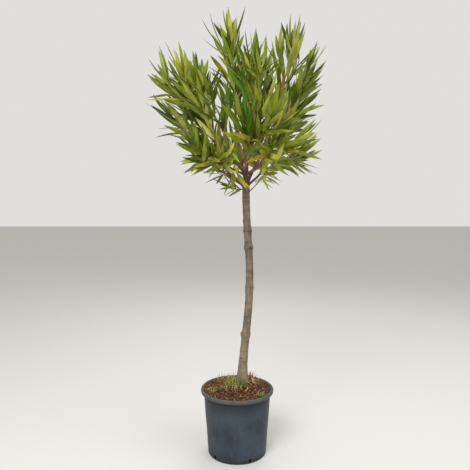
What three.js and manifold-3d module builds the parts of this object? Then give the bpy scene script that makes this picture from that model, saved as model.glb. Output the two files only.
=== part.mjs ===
// A standard oleander in a round nursery pot: one clear trunk, forking boughs and an open, leafy head.
// Millimetres, +Z up, its front on the -Y side. The origin is the centre of the pot's flat underside.

import * as THREE from "three";
import { mergeVertices } from "three/addons/utils/BufferGeometryUtils.js";
import Module from "manifold-3d";

const wasm = await Module();
wasm.setup();

// Driving dimensions
const clearance = 0.3; // between pieces that touch
const pot = {
  height: 308,
  baseRadius: 136,
  shoulderRadius: 155, // outside of the wall, just under the rim
  rimRadius: 169.5,
  rimDrop: 23, // height of the turned-down rim
  rimTop: 12, // width of the rim's flat top
  wall: 3,
  floor: 4,
  coveHeight: 4, // rounding between floor and wall inside
  lipDrop: 20, // height over which the mouth flares out to the rim
  footBevel: 6, // width of the bevel round the flat underside
  facets: 32,
};
const drains = {
  count: 5,
  firstTurn: 25, // degrees from the front
  radius: 9,
  widthShare: 0.75, // width against height
  level: 16,
  depth: 24,
};
const soil = {
  edgeLevel: 302,
  crownLevel: 326,
  moundRadius: 125, // the mound fades out this far from the trunk
  seatRadius: 42, // flat under the trunk's foot
  rings: 3,
  crumb: 2.5, // how deep the surface is pitted
};
const trunk = {
  foot: new THREE.Vector3(24, 25, soil.crownLevel + clearance),
  fork: new THREE.Vector3(40, 0, 1256),
  bow: 25, // sideways bow half way up
  radius: 17,
  footRadius: 33,
  flareShare: 0.05, // share of the height over which the root flare fades
  taper: 3.5, // extra radius low down, above the flare
  sides: 10,
};
// Swollen rings left by pruned side shoots: where they sit and how far they stand out
const knots = [
  { share: 0.25, swell: 4 },
  { share: 0.49, swell: 2 },
  { share: 0.69, swell: 4 },
  { share: 0.77, swell: 2.5 },
];
const knotShare = 0.016; // half height of a knot, as a share of the trunk

// Each bough leaves its parent at a share of the parent's length and ends at x, y, z
const boughs = {
  bough_centre: { from: "trunk", share: 0.985, end: [5, 12, 1440], radii: [10.5, 6.5] },
  bough_right: { from: "trunk", share: 0.98, end: [125, 0, 1440], radii: [10, 6.5] },
  bough_right_low: { from: "trunk", share: 0.975, end: [105, -25, 1312], radii: [7.5, 6] },
  bough_left: { from: "trunk", share: 0.98, end: [-120, 5, 1360], radii: [8, 6] },
  bough_front: { from: "trunk", share: 0.975, end: [35, -85, 1335], radii: [7.5, 6] },
  bough_back: { from: "trunk", share: 0.978, end: [50, 115, 1370], radii: [8.5, 6] },
  bough_left_rise: { from: "bough_left", share: 0.4, end: [-85, -35, 1415], radii: [7, 6] },
  bough_middle: { from: "bough_centre", share: 0.5, end: [65, -40, 1425], radii: [7, 6] },
  bough_right_rise: { from: "bough_right", share: 0.4, end: [180, 10, 1400], radii: [7, 6] },
  bough_inner_left: { from: "bough_centre", share: 0.3, end: [-30, -50, 1385], radii: [7, 6] },
  bough_front_left: { from: "trunk", share: 0.968, end: [-62, -85, 1318], radii: [7, 6] },
  bough_front_right: { from: "bough_front", share: 0.55, end: [100, -115, 1345], radii: [7, 6] },
  bough_back_left: { from: "bough_back", share: 0.35, end: [-60, 115, 1365], radii: [7, 6] },
  bough_back_right: { from: "bough_back", share: 0.45, end: [125, 120, 1370], radii: [7, 6] },
  bough_back_low: { from: "bough_back", share: 0.6, end: [30, 180, 1340], radii: [7, 6] },
};
const bend = {
  reach: 0.36, // length of a limb's two bends, as a share of the way from its start to its end
  upturn: 0.5, // how far it turns upward by its end
};
const boughSides = 6;
const boughStep = 48; // spacing of a bough's rings
const frameSteps = 60; // steps at which a limb's cross-section is turned along its curve

// Each leafy mass grows from the tip of its bough, or from the trunk at a height, turn and lift.
// top is the end of its leading stem; shoots are the stems round it, ending spread away from top.
const masses = {
  leaves_top_left: { bough: "bough_centre", top: [-25, 25, 1888], shoots: 3, spread: 45, seed: 36 },
  leaves_top_right: { bough: "bough_right", top: [240, 0, 1852], shoots: 3, spread: 60, seed: 32 },
  leaves_right_fan: {
    bough: "bough_right_low",
    top: [212, -35, 1410],
    shoots: 3,
    spread: 50,
    seed: 16,
    droop: 0.15,
  },
  leaves_outer_left: { bough: "bough_left", top: [-280, 35, 1585], shoots: 3, spread: 30, seed: 65 },
  leaves_front: { bough: "bough_front", top: [100, -275, 1545], shoots: 3, spread: 85, seed: 46 },
  leaves_back: { bough: "bough_back", top: [75, 200, 1800], shoots: 3, spread: 75, seed: 77 },
  leaves_left_top: { bough: "bough_left_rise", top: [-240, -35, 1742], shoots: 3, spread: 65, seed: 25 },
  leaves_middle: { bough: "bough_middle", top: [55, -115, 1770], shoots: 2, spread: 65, seed: 16 },
  leaves_right: { bough: "bough_right_rise", top: [300, -25, 1778], shoots: 2, spread: 45, seed: 37 },
  leaves_inner_left: { bough: "bough_inner_left", top: [-65, -110, 1640], shoots: 2, spread: 80, seed: 93 },
  leaves_front_left: { bough: "bough_front_left", top: [-130, -185, 1420], shoots: 3, spread: 65, seed: 6 },
  leaves_front_right: {
    bough: "bough_front_right",
    top: [180, -255, 1455],
    shoots: 2,
    spread: 80,
    seed: 20,
  },
  leaves_back_left: { bough: "bough_back_left", top: [-215, 220, 1700], shoots: 2, spread: 50, seed: 19 },
  leaves_back_right: { bough: "bough_back_right", top: [252, 180, 1680], shoots: 2, spread: 80, seed: 87 },
  leaves_back_low: { bough: "bough_back_low", top: [-15, 325, 1445], shoots: 2, spread: 85, seed: 62 },
  leaves_low_left: {
    height: 1212,
    turn: 250,
    lift: 40,
    top: [-25, -125, 1390],
    shoots: 1,
    spread: 30,
    seed: 5,
    droop: 1.1,
    leafScale: 0.6,
    bare: 0.56,
  },
  leaves_low_right: {
    height: 1216,
    turn: 320,
    lift: 40,
    top: [158, -85, 1368],
    shoots: 1,
    spread: 30,
    seed: 5,
    droop: 0.7,
    leafScale: 0.56,
    bare: 0.55,
  },
  sprig_low: {
    height: 1232,
    turn: 184,
    top: [-44, -8, 1256],
    shoots: 0,
    spread: 0,
    seed: 18,
    droop: 0.35,
    leafScale: 0.48,
  },
};
const stem = {
  footRadius: 6.2,
  tipRadius: 4.2,
  step: 86, // spacing of its rings
  bare: 0.1, // share of the leading stem below its first leaves, unless its mass gives its own
  margin: 4, // least room between the stems of two masses
};
const shoot = {
  partings: [0.18, 0.5], // shares of the leading stem between which the shoots leave it
  drops: [0.3, 0.9], // how far a shoot ends below the top, as a share of the spread
  turnJitter: 0.7,
  thickness: 0.85, // against the leading stem
  bare: 0.3,
};
const whorl = {
  leaves: 3,
  spacing: 46,
  last: 0.985, // share of a stem at which its last leaves stand
  angles: [44, 14], // degrees between leaf and stem, at the stem's foot and at its tip
  droops: [60, 50], // degrees that a full droop adds there
  angleJitter: 14,
  turnJitter: 0.6,
};
const leaf = {
  length: 160,
  width: 26,
  thickness: 2.6,
  widest: 0.42, // share of the length at which a leaf is widest
  lengths: [0.85, 1.12],
  widths: [0.85, 1.1],
  arches: [0.06, -0.06], // rise of the widest point against the length, at the stem's foot and at its tip
  archRange: [0.5, 1.3],
  roll: 50, // most degrees that a leaf is turned about its length
  apart: 12, // least room to a leaf of the same mass, to its own stems, to a limb, to another mass
  offStem: 8,
  offLimb: 3,
  offOthers: 1.5,
  checkedAt: [0.15, 0.3, 0.42, 0.6, 0.8, 1], // shares of its length at which that room is measured
};
const tries = [1, 1.25, 0.8, 1.5, 0.65]; // how a leaf may be drawn in or pushed out to fit its own space
const chordLength = 20; // longest straight piece by which distances to a limb are measured

// Seeded numbers from 0 to 1, the same on every run
function seeded(seed) {
  let state = seed * 7919 + 17;
  return () => {
    state = (state * 1664525 + 1013904223) % 4294967296;
    return state / 4294967296;
  };
}

const mix = THREE.MathUtils.lerp;
const radians = THREE.MathUtils.degToRad;
const up = new THREE.Vector3(0, 0, 1);

// Solids from three.js geometry, and back again

// The same corners and faces without normals, with corners that coincide made one
function mergedShape(geometry) {
  const shape = new THREE.BufferGeometry();
  shape.setAttribute("position", geometry.getAttribute("position"));
  shape.setIndex(geometry.index);
  return mergeVertices(shape, 1e-3);
}

function solidOf(geometry) {
  const merged = mergedShape(geometry);
  const corners = merged.index.array;
  const kept = [];
  for (let i = 0; i < corners.length; i += 3) {
    const [a, b, c] = corners.slice(i, i + 3);
    if (a !== b && b !== c && c !== a) kept.push(a, b, c); // a face drawn to a point is dropped
  }
  return new wasm.Manifold(
    new wasm.Mesh({
      numProp: 3,
      vertProperties: new Float32Array(merged.attributes.position.array),
      triVerts: new Uint32Array(kept),
    }),
  );
}

function geometryOf(solid) {
  const mesh = solid.getMesh();
  const geometry = new THREE.BufferGeometry();
  geometry.setAttribute("position", new THREE.BufferAttribute(new Float32Array(mesh.vertProperties), 3));
  geometry.setIndex(new THREE.BufferAttribute(new Uint32Array(mesh.triVerts), 1));
  geometry.computeVertexNormals();
  return geometry;
}

// The largest closed body of a solid: scraps and sealed hollows are dropped
function largestBody(solid) {
  const bodies = solid.decompose();
  return bodies.reduce((best, body) => (body.volume() > best.volume() ? body : best));
}

// Limbs: a round tube whose rings follow a curve

function tube(curve, radiusAt, sides, rings) {
  const steps = rings.length - 1;
  const geometry = new THREE.CylinderGeometry(1, 1, 1, sides, steps);
  const frames = curve.computeFrenetFrames(frameSteps);
  const position = geometry.getAttribute("position");
  const point = new THREE.Vector3();
  for (let i = 0; i < position.count; i++) {
    point.fromBufferAttribute(position, i);
    const share = rings[Math.round((point.y + 0.5) * steps)];
    const frame = Math.round(share * frameSteps);
    const across = frames.normals[frame].clone().multiplyScalar(point.z * radiusAt(share));
    const along = frames.binormals[frame].clone().multiplyScalar(point.x * radiusAt(share));
    point.copy(curve.getPointAt(share)).add(across).add(along);
    position.setXYZ(i, point.x, point.y, point.z);
  }
  return geometry;
}

function evenRings(curve, spacing) {
  const steps = Math.max(2, Math.ceil(curve.getLength() / spacing));
  return Array.from({ length: steps + 1 }, (_, i) => i / steps);
}

// The trunk's rings crowd together at the root flare and round each knot
function trunkRings() {
  const rings = [0, 0.012, 0.03, 0.06, 0.1, 0.17, 0.33, 0.41, 0.56, 0.63, 0.84, 0.92, 1];
  for (const knot of knots) rings.push(knot.share - 2 * knotShare, knot.share - knotShare * 0.8);
  for (const knot of knots) rings.push(knot.share + knotShare * 0.8, knot.share + 2 * knotShare);
  return rings.sort((a, b) => a - b);
}

class TrunkLine extends THREE.Curve {
  getPoint(share, target = new THREE.Vector3()) {
    target.lerpVectors(trunk.foot, trunk.fork, share);
    target.x += trunk.bow * Math.sin(Math.PI * share) ** 2;
    target.y = trunk.foot.y * (1 - share) ** 2;
    return target;
  }
}

function trunkRadius(share) {
  const swollen = knots.reduce(
    (sum, knot) => sum + knot.swell * Math.exp(-(((share - knot.share) / knotShare) ** 2)),
    0,
  );
  const flare = (trunk.footRadius - trunk.radius - trunk.taper) * Math.exp(-share / trunk.flareShare);
  return trunk.radius + trunk.taper * (1 - share) ** 3 + flare + swollen;
}

// A limb that sets off along a heading and turns upward to its end
function bentLine(start, heading, end) {
  const reach = start.distanceTo(end) * bend.reach;
  const arrival = end.clone().sub(start).normalize().lerp(up, bend.upturn).normalize();
  const firstBend = start.clone().addScaledVector(heading, reach);
  const lastBend = end.clone().addScaledVector(arrival, -reach);
  return new THREE.CubicBezierCurve3(start, firstBend, lastBend, end);
}

function limbLines() {
  const lines = { trunk: { curve: new TrunkLine(), radiusAt: trunkRadius } };
  for (const [name, bough] of Object.entries(boughs)) {
    const parent = lines[bough.from];
    const start = parent.curve.getPointAt(bough.share);
    const end = new THREE.Vector3(...bough.end);
    const heading = parent.curve
      .getTangentAt(bough.share)
      .add(end.clone().sub(start).normalize())
      .normalize();
    lines[name] = {
      curve: bentLine(start, heading, end),
      radiusAt: (share) => mix(...bough.radii, share),
    };
  }
  return lines;
}

function limbSolid(name, line, extra = 0) {
  const isTrunk = name === "trunk";
  const sides = isTrunk ? trunk.sides : boughSides;
  const rings = isTrunk ? trunkRings() : evenRings(line.curve, boughStep);
  const geometry = tube(line.curve, (share) => line.radiusAt(share) + extra, sides, rings);
  if (isTrunk) {
    const position = geometry.getAttribute("position");
    for (let i = 0; i < position.count; i++) {
      if (position.getZ(i) < trunk.foot.z + 3) position.setZ(i, trunk.foot.z); // the flat cut at soil level
    }
  }
  return solidOf(geometry);
}

// Every limb, each cut clear of the limbs made before it
function limbSolids(lines) {
  const made = {};
  const cutters = [];
  for (const [name, line] of Object.entries(lines)) {
    let solid = limbSolid(name, line);
    for (const cutter of cutters) solid = solid.subtract(cutter);
    made[name] = largestBody(solid);
    cutters.push(limbSolid(name, line, clearance + 0.1));
  }
  return made;
}

// Foliage: stems that branch by a seeded rule, then whorls of leaves on each of them

function stemStart(mass, lines) {
  if (mass.bough) {
    const curve = lines[mass.bough].curve;
    const heading = curve.getTangentAt(1);
    return { start: curve.getPointAt(1).addScaledVector(heading, clearance), heading };
  }
  const trunkCurve = lines.trunk.curve;
  const share = (mass.height - trunk.foot.z) / (trunk.fork.z - trunk.foot.z);
  const turn = radians(mass.turn);
  const lift = radians(mass.lift ?? 0);
  const outward = new THREE.Vector3(Math.cos(turn), Math.sin(turn), 0);
  return {
    start: trunkCurve.getPoint(share).addScaledVector(outward, trunkRadius(share) * 0.7),
    heading: outward.clone().multiplyScalar(Math.cos(lift)).addScaledVector(up, Math.sin(lift)),
  };
}

// The leading stem runs from the tip of its bough to the top of the mass
function leaderOf(mass, lines) {
  const { start, heading } = stemStart(mass, lines);
  const curve = bentLine(start, heading, new THREE.Vector3(...mass.top));
  const scale = mass.leafScale ?? 1;
  return { curve, radii: [stem.footRadius * scale, stem.tipRadius * scale], bare: mass.bare ?? stem.bare };
}

// The shoots leave the leading stem in turn and end spread round its top, a little lower
function shootsOf(mass, leader) {
  const random = seeded(mass.seed);
  const top = leader.curve.getPointAt(1);
  const firstTurn = random() * Math.PI * 2;
  return Array.from({ length: mass.shoots }, (_, i) => {
    const parting = mix(...shoot.partings, (i + random() * 0.5) / mass.shoots);
    const turn = firstTurn + (i * Math.PI * 2) / mass.shoots + (random() - 0.5) * shoot.turnJitter;
    const away = new THREE.Vector3(Math.cos(turn), Math.sin(turn), -mix(...shoot.drops, random()));
    const end = top.clone().addScaledVector(away, mass.spread);
    const foot = leader.curve.getPointAt(parting);
    const heading = leader.curve
      .getTangentAt(parting)
      .add(end.clone().sub(foot).normalize())
      .normalize();
    const radii = [mix(...leader.radii, parting), leader.radii[1]];
    return {
      curve: bentLine(foot, heading, end),
      radii: radii.map((radius) => radius * shoot.thickness),
      bare: shoot.bare,
    };
  });
}

// All the stems: a shoot that would touch a limb or enter another mass is skipped
function grownStems(lines, limbPieces) {
  const grown = Object.entries(masses).map(([name, mass]) => {
    const leader = leaderOf(mass, lines);
    return { name, mass, stems: [leader], pieces: chords(leader.curve) };
  });
  for (const entry of grown) {
    const others = piecesOfOthers(grown, entry);
    const room = 2 * stem.footRadius + stem.margin;
    for (const grownShoot of shootsOf(entry.mass, entry.stems[0])) {
      const points = grownShoot.curve.getSpacedPoints(10);
      if (points.some((point) => distanceTo(others, point) <= room)) continue;
      if (points.some((point) => !isClear(limbPieces, point, room / 2))) continue;
      entry.stems.push(grownShoot);
      entry.pieces.push(...chords(grownShoot.curve));
    }
  }
  return grown;
}

function piecesOfOthers(grown, entry) {
  return grown.filter((other) => other !== entry).flatMap((other) => other.pieces);
}

// A limb as short straight pieces, for measuring distances to it
function chords(curve) {
  const points = curve.getSpacedPoints(Math.max(2, Math.ceil(curve.getLength() / chordLength)));
  return points.slice(1).map((end, i) => new THREE.Line3(points[i], end));
}

const nearest = new THREE.Vector3();

function distanceTo(pieces, point) {
  let best = Infinity;
  for (const piece of pieces) {
    piece.closestPointToPoint(point, true, nearest);
    best = Math.min(best, nearest.distanceTo(point));
  }
  return best;
}

// The limbs as short straight pieces, each with its radius
function limbPiecesOf(lines) {
  return Object.values(lines).flatMap(({ curve, radiusAt }) => {
    const pieces = chords(curve);
    return pieces.map((piece, i) => ({ piece, radius: radiusAt(i / pieces.length) }));
  });
}

function isClear(limbPieces, point, room) {
  return limbPieces.every(({ piece, radius }) => {
    piece.closestPointToPoint(point, true, nearest);
    return nearest.distanceTo(point) > radius + room;
  });
}

// The centre line of a leaf: it leaves its stem at an angle, arches over and is rolled about its length
function leafLine(root, along, outward, angle, length, arch, roll) {
  const direction = along.clone().multiplyScalar(Math.cos(angle)).addScaledVector(outward, Math.sin(angle));
  const side = new THREE.Vector3().crossVectors(along, outward).normalize().applyAxisAngle(direction, roll);
  const face = new THREE.Vector3().crossVectors(direction, side).normalize();
  const tip = root.clone().addScaledVector(direction, length);
  const middle = root
    .clone()
    .addScaledVector(direction, length * leaf.widest)
    .addScaledVector(face, length * arch);
  const pieces = [new THREE.Line3(root, middle), new THREE.Line3(middle, tip)];
  return { root, middle, tip, side, face, pieces };
}

// A leaf of six faces: it widens from its root to its widest ring and narrows to a sharp tip
function leafGeometry(line, width) {
  const geometry = new THREE.ConeGeometry(1, 1, 3, 2);
  const position = geometry.getAttribute("position");
  const point = new THREE.Vector3();
  const rings = [
    { centre: line.root, size: 0 },
    { centre: line.middle, size: 1 },
    { centre: line.tip, size: 0 },
  ];
  for (let i = 0; i < position.count; i++) {
    point.fromBufferAttribute(position, i);
    const ring = rings[Math.round((point.y + 0.5) * 2)];
    const reach = Math.max(1e-6, Math.hypot(point.x, point.z));
    const across = (point.x / reach) * (width / Math.sqrt(3)) * ring.size;
    const down = (point.z / reach) * (leaf.thickness / 1.5) * ring.size;
    point.copy(ring.centre).addScaledVector(line.side, across).addScaledVector(line.face, -down);
    position.setXYZ(i, point.x, point.y, point.z);
  }
  return geometry;
}

function pointOn(line, share) {
  if (share < leaf.widest) return line.root.clone().lerp(line.middle, share / leaf.widest);
  return line.middle.clone().lerp(line.tip, (share - leaf.widest) / (1 - leaf.widest));
}

// A leaf fits when it keeps to its own mass's space, clear of every limb and of the leaves before it
function leafFits(line, width, own, others, limbPieces, leavesBefore, scale) {
  for (const share of leaf.checkedAt) {
    const point = pointOn(line, share);
    const fullness = share < leaf.widest ? share / leaf.widest : (1 - share) / (1 - leaf.widest);
    const half = (width / 2) * fullness;
    if (distanceTo(others, point) < distanceTo(own, point) + 2 * half + leaf.offOthers) return false;
    if (!isClear(limbPieces, point, half + leaf.offLimb)) return false;
    if (share < 0.2) continue; // near its root a leaf touches its own stem
    if (distanceTo(leavesBefore, point) < leaf.apart * scale) return false;
    if (distanceTo(own, point) < leaf.offStem) return false;
  }
  return true;
}

// A point on the straight pieces between a stem's rings, so that a leaf's root is sunk in the stem
function rootAt(curve, share) {
  const rings = evenRings(curve, stem.step);
  const piece = Math.min(rings.length - 2, Math.floor(share * (rings.length - 1)));
  const along = (share - rings[piece]) / (rings[piece + 1] - rings[piece]);
  return curve.getPointAt(rings[piece]).lerp(curve.getPointAt(rings[piece + 1]), along);
}

function leavesOf({ mass, stems, pieces }, others, limbPieces) {
  const random = seeded(mass.seed + 100);
  const droop = mass.droop ?? 0;
  const scale = mass.leafScale ?? 1;
  const made = [];
  const placed = [];
  for (const { curve, bare } of stems) {
    const leafy = curve.getLength() * (1 - bare);
    const count = Math.max(2, Math.round(leafy / (whorl.spacing * scale)) + 1);
    for (let ring = 0; ring < count; ring++) {
      const rise = ring / (count - 1);
      const share = mix(bare, whorl.last, rise);
      const root = rootAt(curve, share);
      const along = curve.getTangentAt(share);
      const first = new THREE.Vector3().crossVectors(along, up);
      if (first.lengthSq() < 1e-3) first.set(1, 0, 0);
      first.normalize();
      const firstTurn = ring * (Math.PI / whorl.leaves) + random() * whorl.turnJitter;
      const open = mix(...whorl.angles, rise ** 0.8) + droop * mix(...whorl.droops, rise ** 0.8);
      for (let k = 0; k < whorl.leaves; k++) {
        const turn = firstTurn + (k * Math.PI * 2) / whorl.leaves;
        const outward = first.clone().applyAxisAngle(along, turn);
        const size = leaf.length * scale * mix(...leaf.lengths, random());
        const angle = radians(open + (random() - 0.5) * whorl.angleJitter);
        const arch = mix(...leaf.arches, rise) * mix(...leaf.archRange, random());
        const roll = radians(leaf.roll) * (random() * 2 - 1);
        const width = leaf.width * Math.sqrt(scale) * mix(...leaf.widths, random());
        for (const draw of tries) {
          const line = leafLine(root, along, outward, angle * draw, size, arch, roll);
          if (!leafFits(line, width, pieces, others, limbPieces, placed, scale)) continue;
          made.push(leafGeometry(line, width));
          placed.push(...line.pieces);
          break;
        }
      }
    }
  }
  return made;
}

function stemSolid({ curve, radii }) {
  return solidOf(tube(curve, (share) => mix(...radii, share), 3, evenRings(curve, stem.step)));
}

function foliageSolids(lines) {
  const limbPieces = limbPiecesOf(lines);
  const grown = grownStems(lines, limbPieces);
  const trunkCutter = limbSolid("trunk", lines.trunk, clearance + 0.1);
  const made = {};
  for (const entry of grown) {
    const { name, mass, stems } = entry;
    const leaves = leavesOf(entry, piecesOfOthers(grown, entry), limbPieces);
    const solids = [...stems.map(stemSolid), ...leaves.map(solidOf)];
    const whole = wasm.Manifold.union(solids);
    made[name] = largestBody(mass.bough ? whole : whole.subtract(trunkCutter));
  }
  return made;
}

// The pot: a thin moulded shell with a turned-down rim and drain holes round its foot

function lathed(profile, facets) {
  const points = profile.map(([radius, height]) => new THREE.Vector2(radius, height));
  return new THREE.LatheGeometry(points, facets).rotateX(Math.PI / 2);
}

// Radius of the pot's inside wall at a height
function insideRadius(height) {
  const bottom = pot.floor + pot.coveHeight;
  const flare = pot.height - pot.lipDrop;
  const throat = pot.shoulderRadius - pot.wall;
  if (height > flare) return mix(throat, pot.rimRadius - pot.rimTop, (height - flare) / pot.lipDrop);
  return mix(pot.baseRadius - pot.wall, throat, (height - bottom) / (flare - bottom));
}

function potSolid() {
  const { height, baseRadius, shoulderRadius, rimRadius, rimDrop, rimTop } = pot;
  const { wall, floor, facets, footBevel } = pot;
  const shoulder = height - rimDrop;
  const shell = solidOf(
    lathed(
      [
        [0, 0],
        [baseRadius - footBevel, 0],
        [baseRadius, 5],
        [shoulderRadius, shoulder],
        [rimRadius - 2, shoulder],
        [rimRadius, shoulder + 5],
        [rimRadius - 2, height - 4],
        [rimRadius - 5, height],
        [rimRadius - rimTop, height],
        [shoulderRadius - wall, height - pot.lipDrop],
        [baseRadius - wall, floor + pot.coveHeight],
        [baseRadius - wall - pot.coveHeight, floor],
        [0, floor],
      ],
      facets,
    ),
  );
  let cut = shell;
  for (let i = 0; i < drains.count; i++) {
    const turn = radians(drains.firstTurn + (i * 360) / drains.count);
    const hole = new THREE.CylinderGeometry(drains.radius, drains.radius, drains.depth, 10);
    hole.scale(drains.widthShare, 1, 1);
    hole.rotateZ(turn);
    hole.translate(Math.sin(turn) * baseRadius, -Math.cos(turn) * baseRadius, drains.level);
    cut = cut.subtract(solidOf(hole));
  }
  return largestBody(cut);
}

// The soil: it fills the pot and rises in a low mound to a flat seat under the trunk's foot
function soilSolid() {
  const random = seeded(41);
  const gap = clearance + 0.1;
  const bottom = pot.floor + gap;
  const topRadius = insideRadius(soil.edgeLevel) - gap;
  const profile = [
    [0, bottom],
    [insideRadius(pot.floor) - pot.coveHeight - gap, bottom],
    [insideRadius(pot.floor + pot.coveHeight) - gap, bottom + pot.coveHeight],
    [insideRadius(pot.height - pot.lipDrop) - gap, pot.height - pot.lipDrop],
    [topRadius, soil.edgeLevel],
  ];
  for (let ring = soil.rings - 1; ring >= 0; ring--) {
    profile.push([(topRadius * ring) / soil.rings, soil.edgeLevel]);
  }
  const geometry = mergedShape(lathed(profile, pot.facets));
  const position = geometry.getAttribute("position");
  for (let i = 0; i < position.count; i++) {
    const x = position.getX(i);
    const y = position.getY(i);
    const fromEdge = topRadius - Math.hypot(x, y);
    if (position.getZ(i) < soil.edgeLevel - 1 || fromEdge < 1) continue;
    const fromFoot = Math.hypot(x - trunk.foot.x, y - trunk.foot.y);
    const slope = soil.moundRadius - soil.seatRadius;
    const fade = THREE.MathUtils.smoothstep(soil.moundRadius - fromFoot, 0, slope);
    const crumb = fade < 1 ? random() * soil.crumb : 0; // only lowers the mound, so the seat stays clear
    position.setZ(i, mix(soil.edgeLevel, soil.crownLevel, fade) - crumb);
  }
  return largestBody(solidOf(geometry));
}

// Materials, one for each kind of piece

const materials = {
  trunk: new THREE.MeshStandardMaterial({ color: 0x857a68, roughness: 0.9, metalness: 0 }),
  youngBark: new THREE.MeshStandardMaterial({ color: 0x6b4a3a, roughness: 0.8, metalness: 0 }),
  leaf: new THREE.MeshStandardMaterial({ color: 0x5f7a24, roughness: 0.5, metalness: 0 }),
  paleLeaf: new THREE.MeshStandardMaterial({ color: 0x94a02c, roughness: 0.55, metalness: 0 }),
  soil: new THREE.MeshStandardMaterial({ color: 0x4a3524, roughness: 1, metalness: 0 }),
  pot: new THREE.MeshStandardMaterial({ color: 0x3a4147, roughness: 0.55, metalness: 0 }),
};

function materialFor(name) {
  if (name in materials) return materials[name];
  if (name.startsWith("bough")) return materials.youngBark;
  if (name.startsWith("leaves_low_")) return materials.paleLeaf;
  return materials.leaf;
}

// A mesh whose own origin is the place that it grows from, inside a group that stands at groupAt
function meshOf(name, solid, at, groupAt) {
  const geometry = geometryOf(solid).translate(-at.x, -at.y, -at.z);
  const mesh = new THREE.Mesh(geometry, materialFor(name));
  mesh.name = name;
  mesh.position.copy(at).sub(groupAt);
  return mesh;
}

function containerGroup() {
  const group = new THREE.Group();
  const floorCentre = new THREE.Vector3();
  group.add(meshOf("pot", potSolid(), floorCentre, floorCentre));
  group.add(meshOf("soil", soilSolid(), floorCentre, floorCentre));
  return group;
}

function treeGroup() {
  const group = new THREE.Group();
  group.position.copy(trunk.foot);
  const lines = limbLines();
  for (const [name, solid] of Object.entries(limbSolids(lines))) {
    group.add(meshOf(name, solid, lines[name].curve.getPointAt(0), trunk.foot));
  }
  for (const [name, solid] of Object.entries(foliageSolids(lines))) {
    group.add(meshOf(name, solid, stemStart(masses[name], lines).start, trunk.foot));
  }
  return group;
}

const plant = new THREE.Group();
plant.add(containerGroup(), treeGroup());

export default plant;
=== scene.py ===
import math

import bpy
import numpy as np
from mathutils import Matrix, Vector, noise


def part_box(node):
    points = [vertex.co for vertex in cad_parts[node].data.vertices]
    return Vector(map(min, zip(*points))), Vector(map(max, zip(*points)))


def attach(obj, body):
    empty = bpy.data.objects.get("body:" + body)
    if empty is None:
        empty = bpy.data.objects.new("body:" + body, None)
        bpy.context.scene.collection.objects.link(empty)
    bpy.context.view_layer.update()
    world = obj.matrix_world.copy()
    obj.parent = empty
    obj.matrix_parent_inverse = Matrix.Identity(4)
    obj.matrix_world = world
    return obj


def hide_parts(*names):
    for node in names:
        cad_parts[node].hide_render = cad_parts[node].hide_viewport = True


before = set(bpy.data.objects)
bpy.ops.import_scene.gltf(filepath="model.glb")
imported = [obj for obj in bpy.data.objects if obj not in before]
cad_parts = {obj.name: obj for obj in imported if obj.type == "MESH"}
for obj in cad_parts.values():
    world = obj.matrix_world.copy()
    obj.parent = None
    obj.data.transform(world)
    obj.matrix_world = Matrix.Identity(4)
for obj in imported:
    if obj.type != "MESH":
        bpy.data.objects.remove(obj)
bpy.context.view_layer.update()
print("frame loaded:", len(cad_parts), "nodes")


# Small helpers

fullTurn = 2 * math.pi
drawRule = {"seedStep": 7919, "seedStart": 17, "factor": 1664525, "step": 1013904223, "range": 2 ** 32}


def seededNumbers(seed):
    # the same run of numbers from 0 to 1 as the plant's source draws
    state = seed * drawRule["seedStep"] + drawRule["seedStart"]

    def draw():
        nonlocal state
        state = (state * drawRule["factor"] + drawRule["step"]) % drawRule["range"]
        return state / drawRule["range"]
    return draw


def mix(low, high, share):
    return low + (high - low) * share


def limited(value):
    return min(1, max(0, value))


def unit(vector):
    return vector / np.linalg.norm(vector)


def around(turn, height=0.0):
    return np.array((math.cos(turn), math.sin(turn), height))


def turns(count):
    return [fullTurn * k / count for k in range(count)]


def rough(*place):
    return noise.noise(Vector(place))


def tone(red, green, blue):
    # a colour as it is seen on screen, 0 to 255, made linear
    def straight(value):
        value /= 255
        return value / 12.92 if value <= 0.04045 else ((value + 0.055) / 1.055) ** 2.4
    return (straight(red), straight(green), straight(blue), 1.0)


def link(thing):
    bpy.context.scene.collection.objects.link(thing)
    return thing


def meshObject(name, points, faces, smooth=True):
    mesh = bpy.data.meshes.new(name)
    mesh.from_pydata([tuple(point) for point in points], [], faces)
    mesh.polygons.foreach_set("use_smooth", [smooth] * len(mesh.polygons))
    mesh.update()
    return link(bpy.data.objects.new(name, mesh))


def band(start, size):
    # the faces from one ring of points to the next
    pairs = [(start + k, start + (k + 1) % size) for k in range(size)]
    return [(a, b, b + size, a + size) for a, b in pairs]


def tubeFaces(rings, size):
    sides = [face for ring in range(rings - 1) for face in band(ring * size, size)]
    return sides + [tuple(reversed(range(size))), tuple(range((rings - 1) * size, rings * size))]


def coordinates(mesh):
    points = np.empty(len(mesh.vertices) * 3)
    mesh.vertices.foreach_get("co", points)
    return points.reshape(-1, 3)


def store(piece, label, values):
    # a value that the piece's mesh holds at each of its points
    piece.data.attributes.new(label, "FLOAT", "POINT").data.foreach_set("value", values)


def baked(made, name):
    # the shape that its modifiers give, as a plain mesh in a new object
    graph = bpy.context.evaluated_depsgraph_get()
    mesh = bpy.data.meshes.new_from_object(made.evaluated_get(graph))
    mesh.name = name
    bpy.data.objects.remove(made)
    return link(bpy.data.objects.new(name, mesh))


def tidied(piece):
    # leaves out the attributes that only the growing needed
    held = piece.data.attributes
    for label in [a.name for a in held if not a.is_required]:
        if not label.startswith((".", "material", "position", "sharp_")):
            held.remove(held[label])
    return piece


def withFinish(piece, finish):
    piece.data.materials.clear()
    piece.data.materials.append(finish)
    return piece


def settle(piece, slot, *nodes):
    # the piece goes with the plant's one body and stands for the nodes named
    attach(piece, "root")
    if nodes:
        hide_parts(*nodes)
    print(piece.name, "-", len(piece.data.polygons), "faces")


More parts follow.
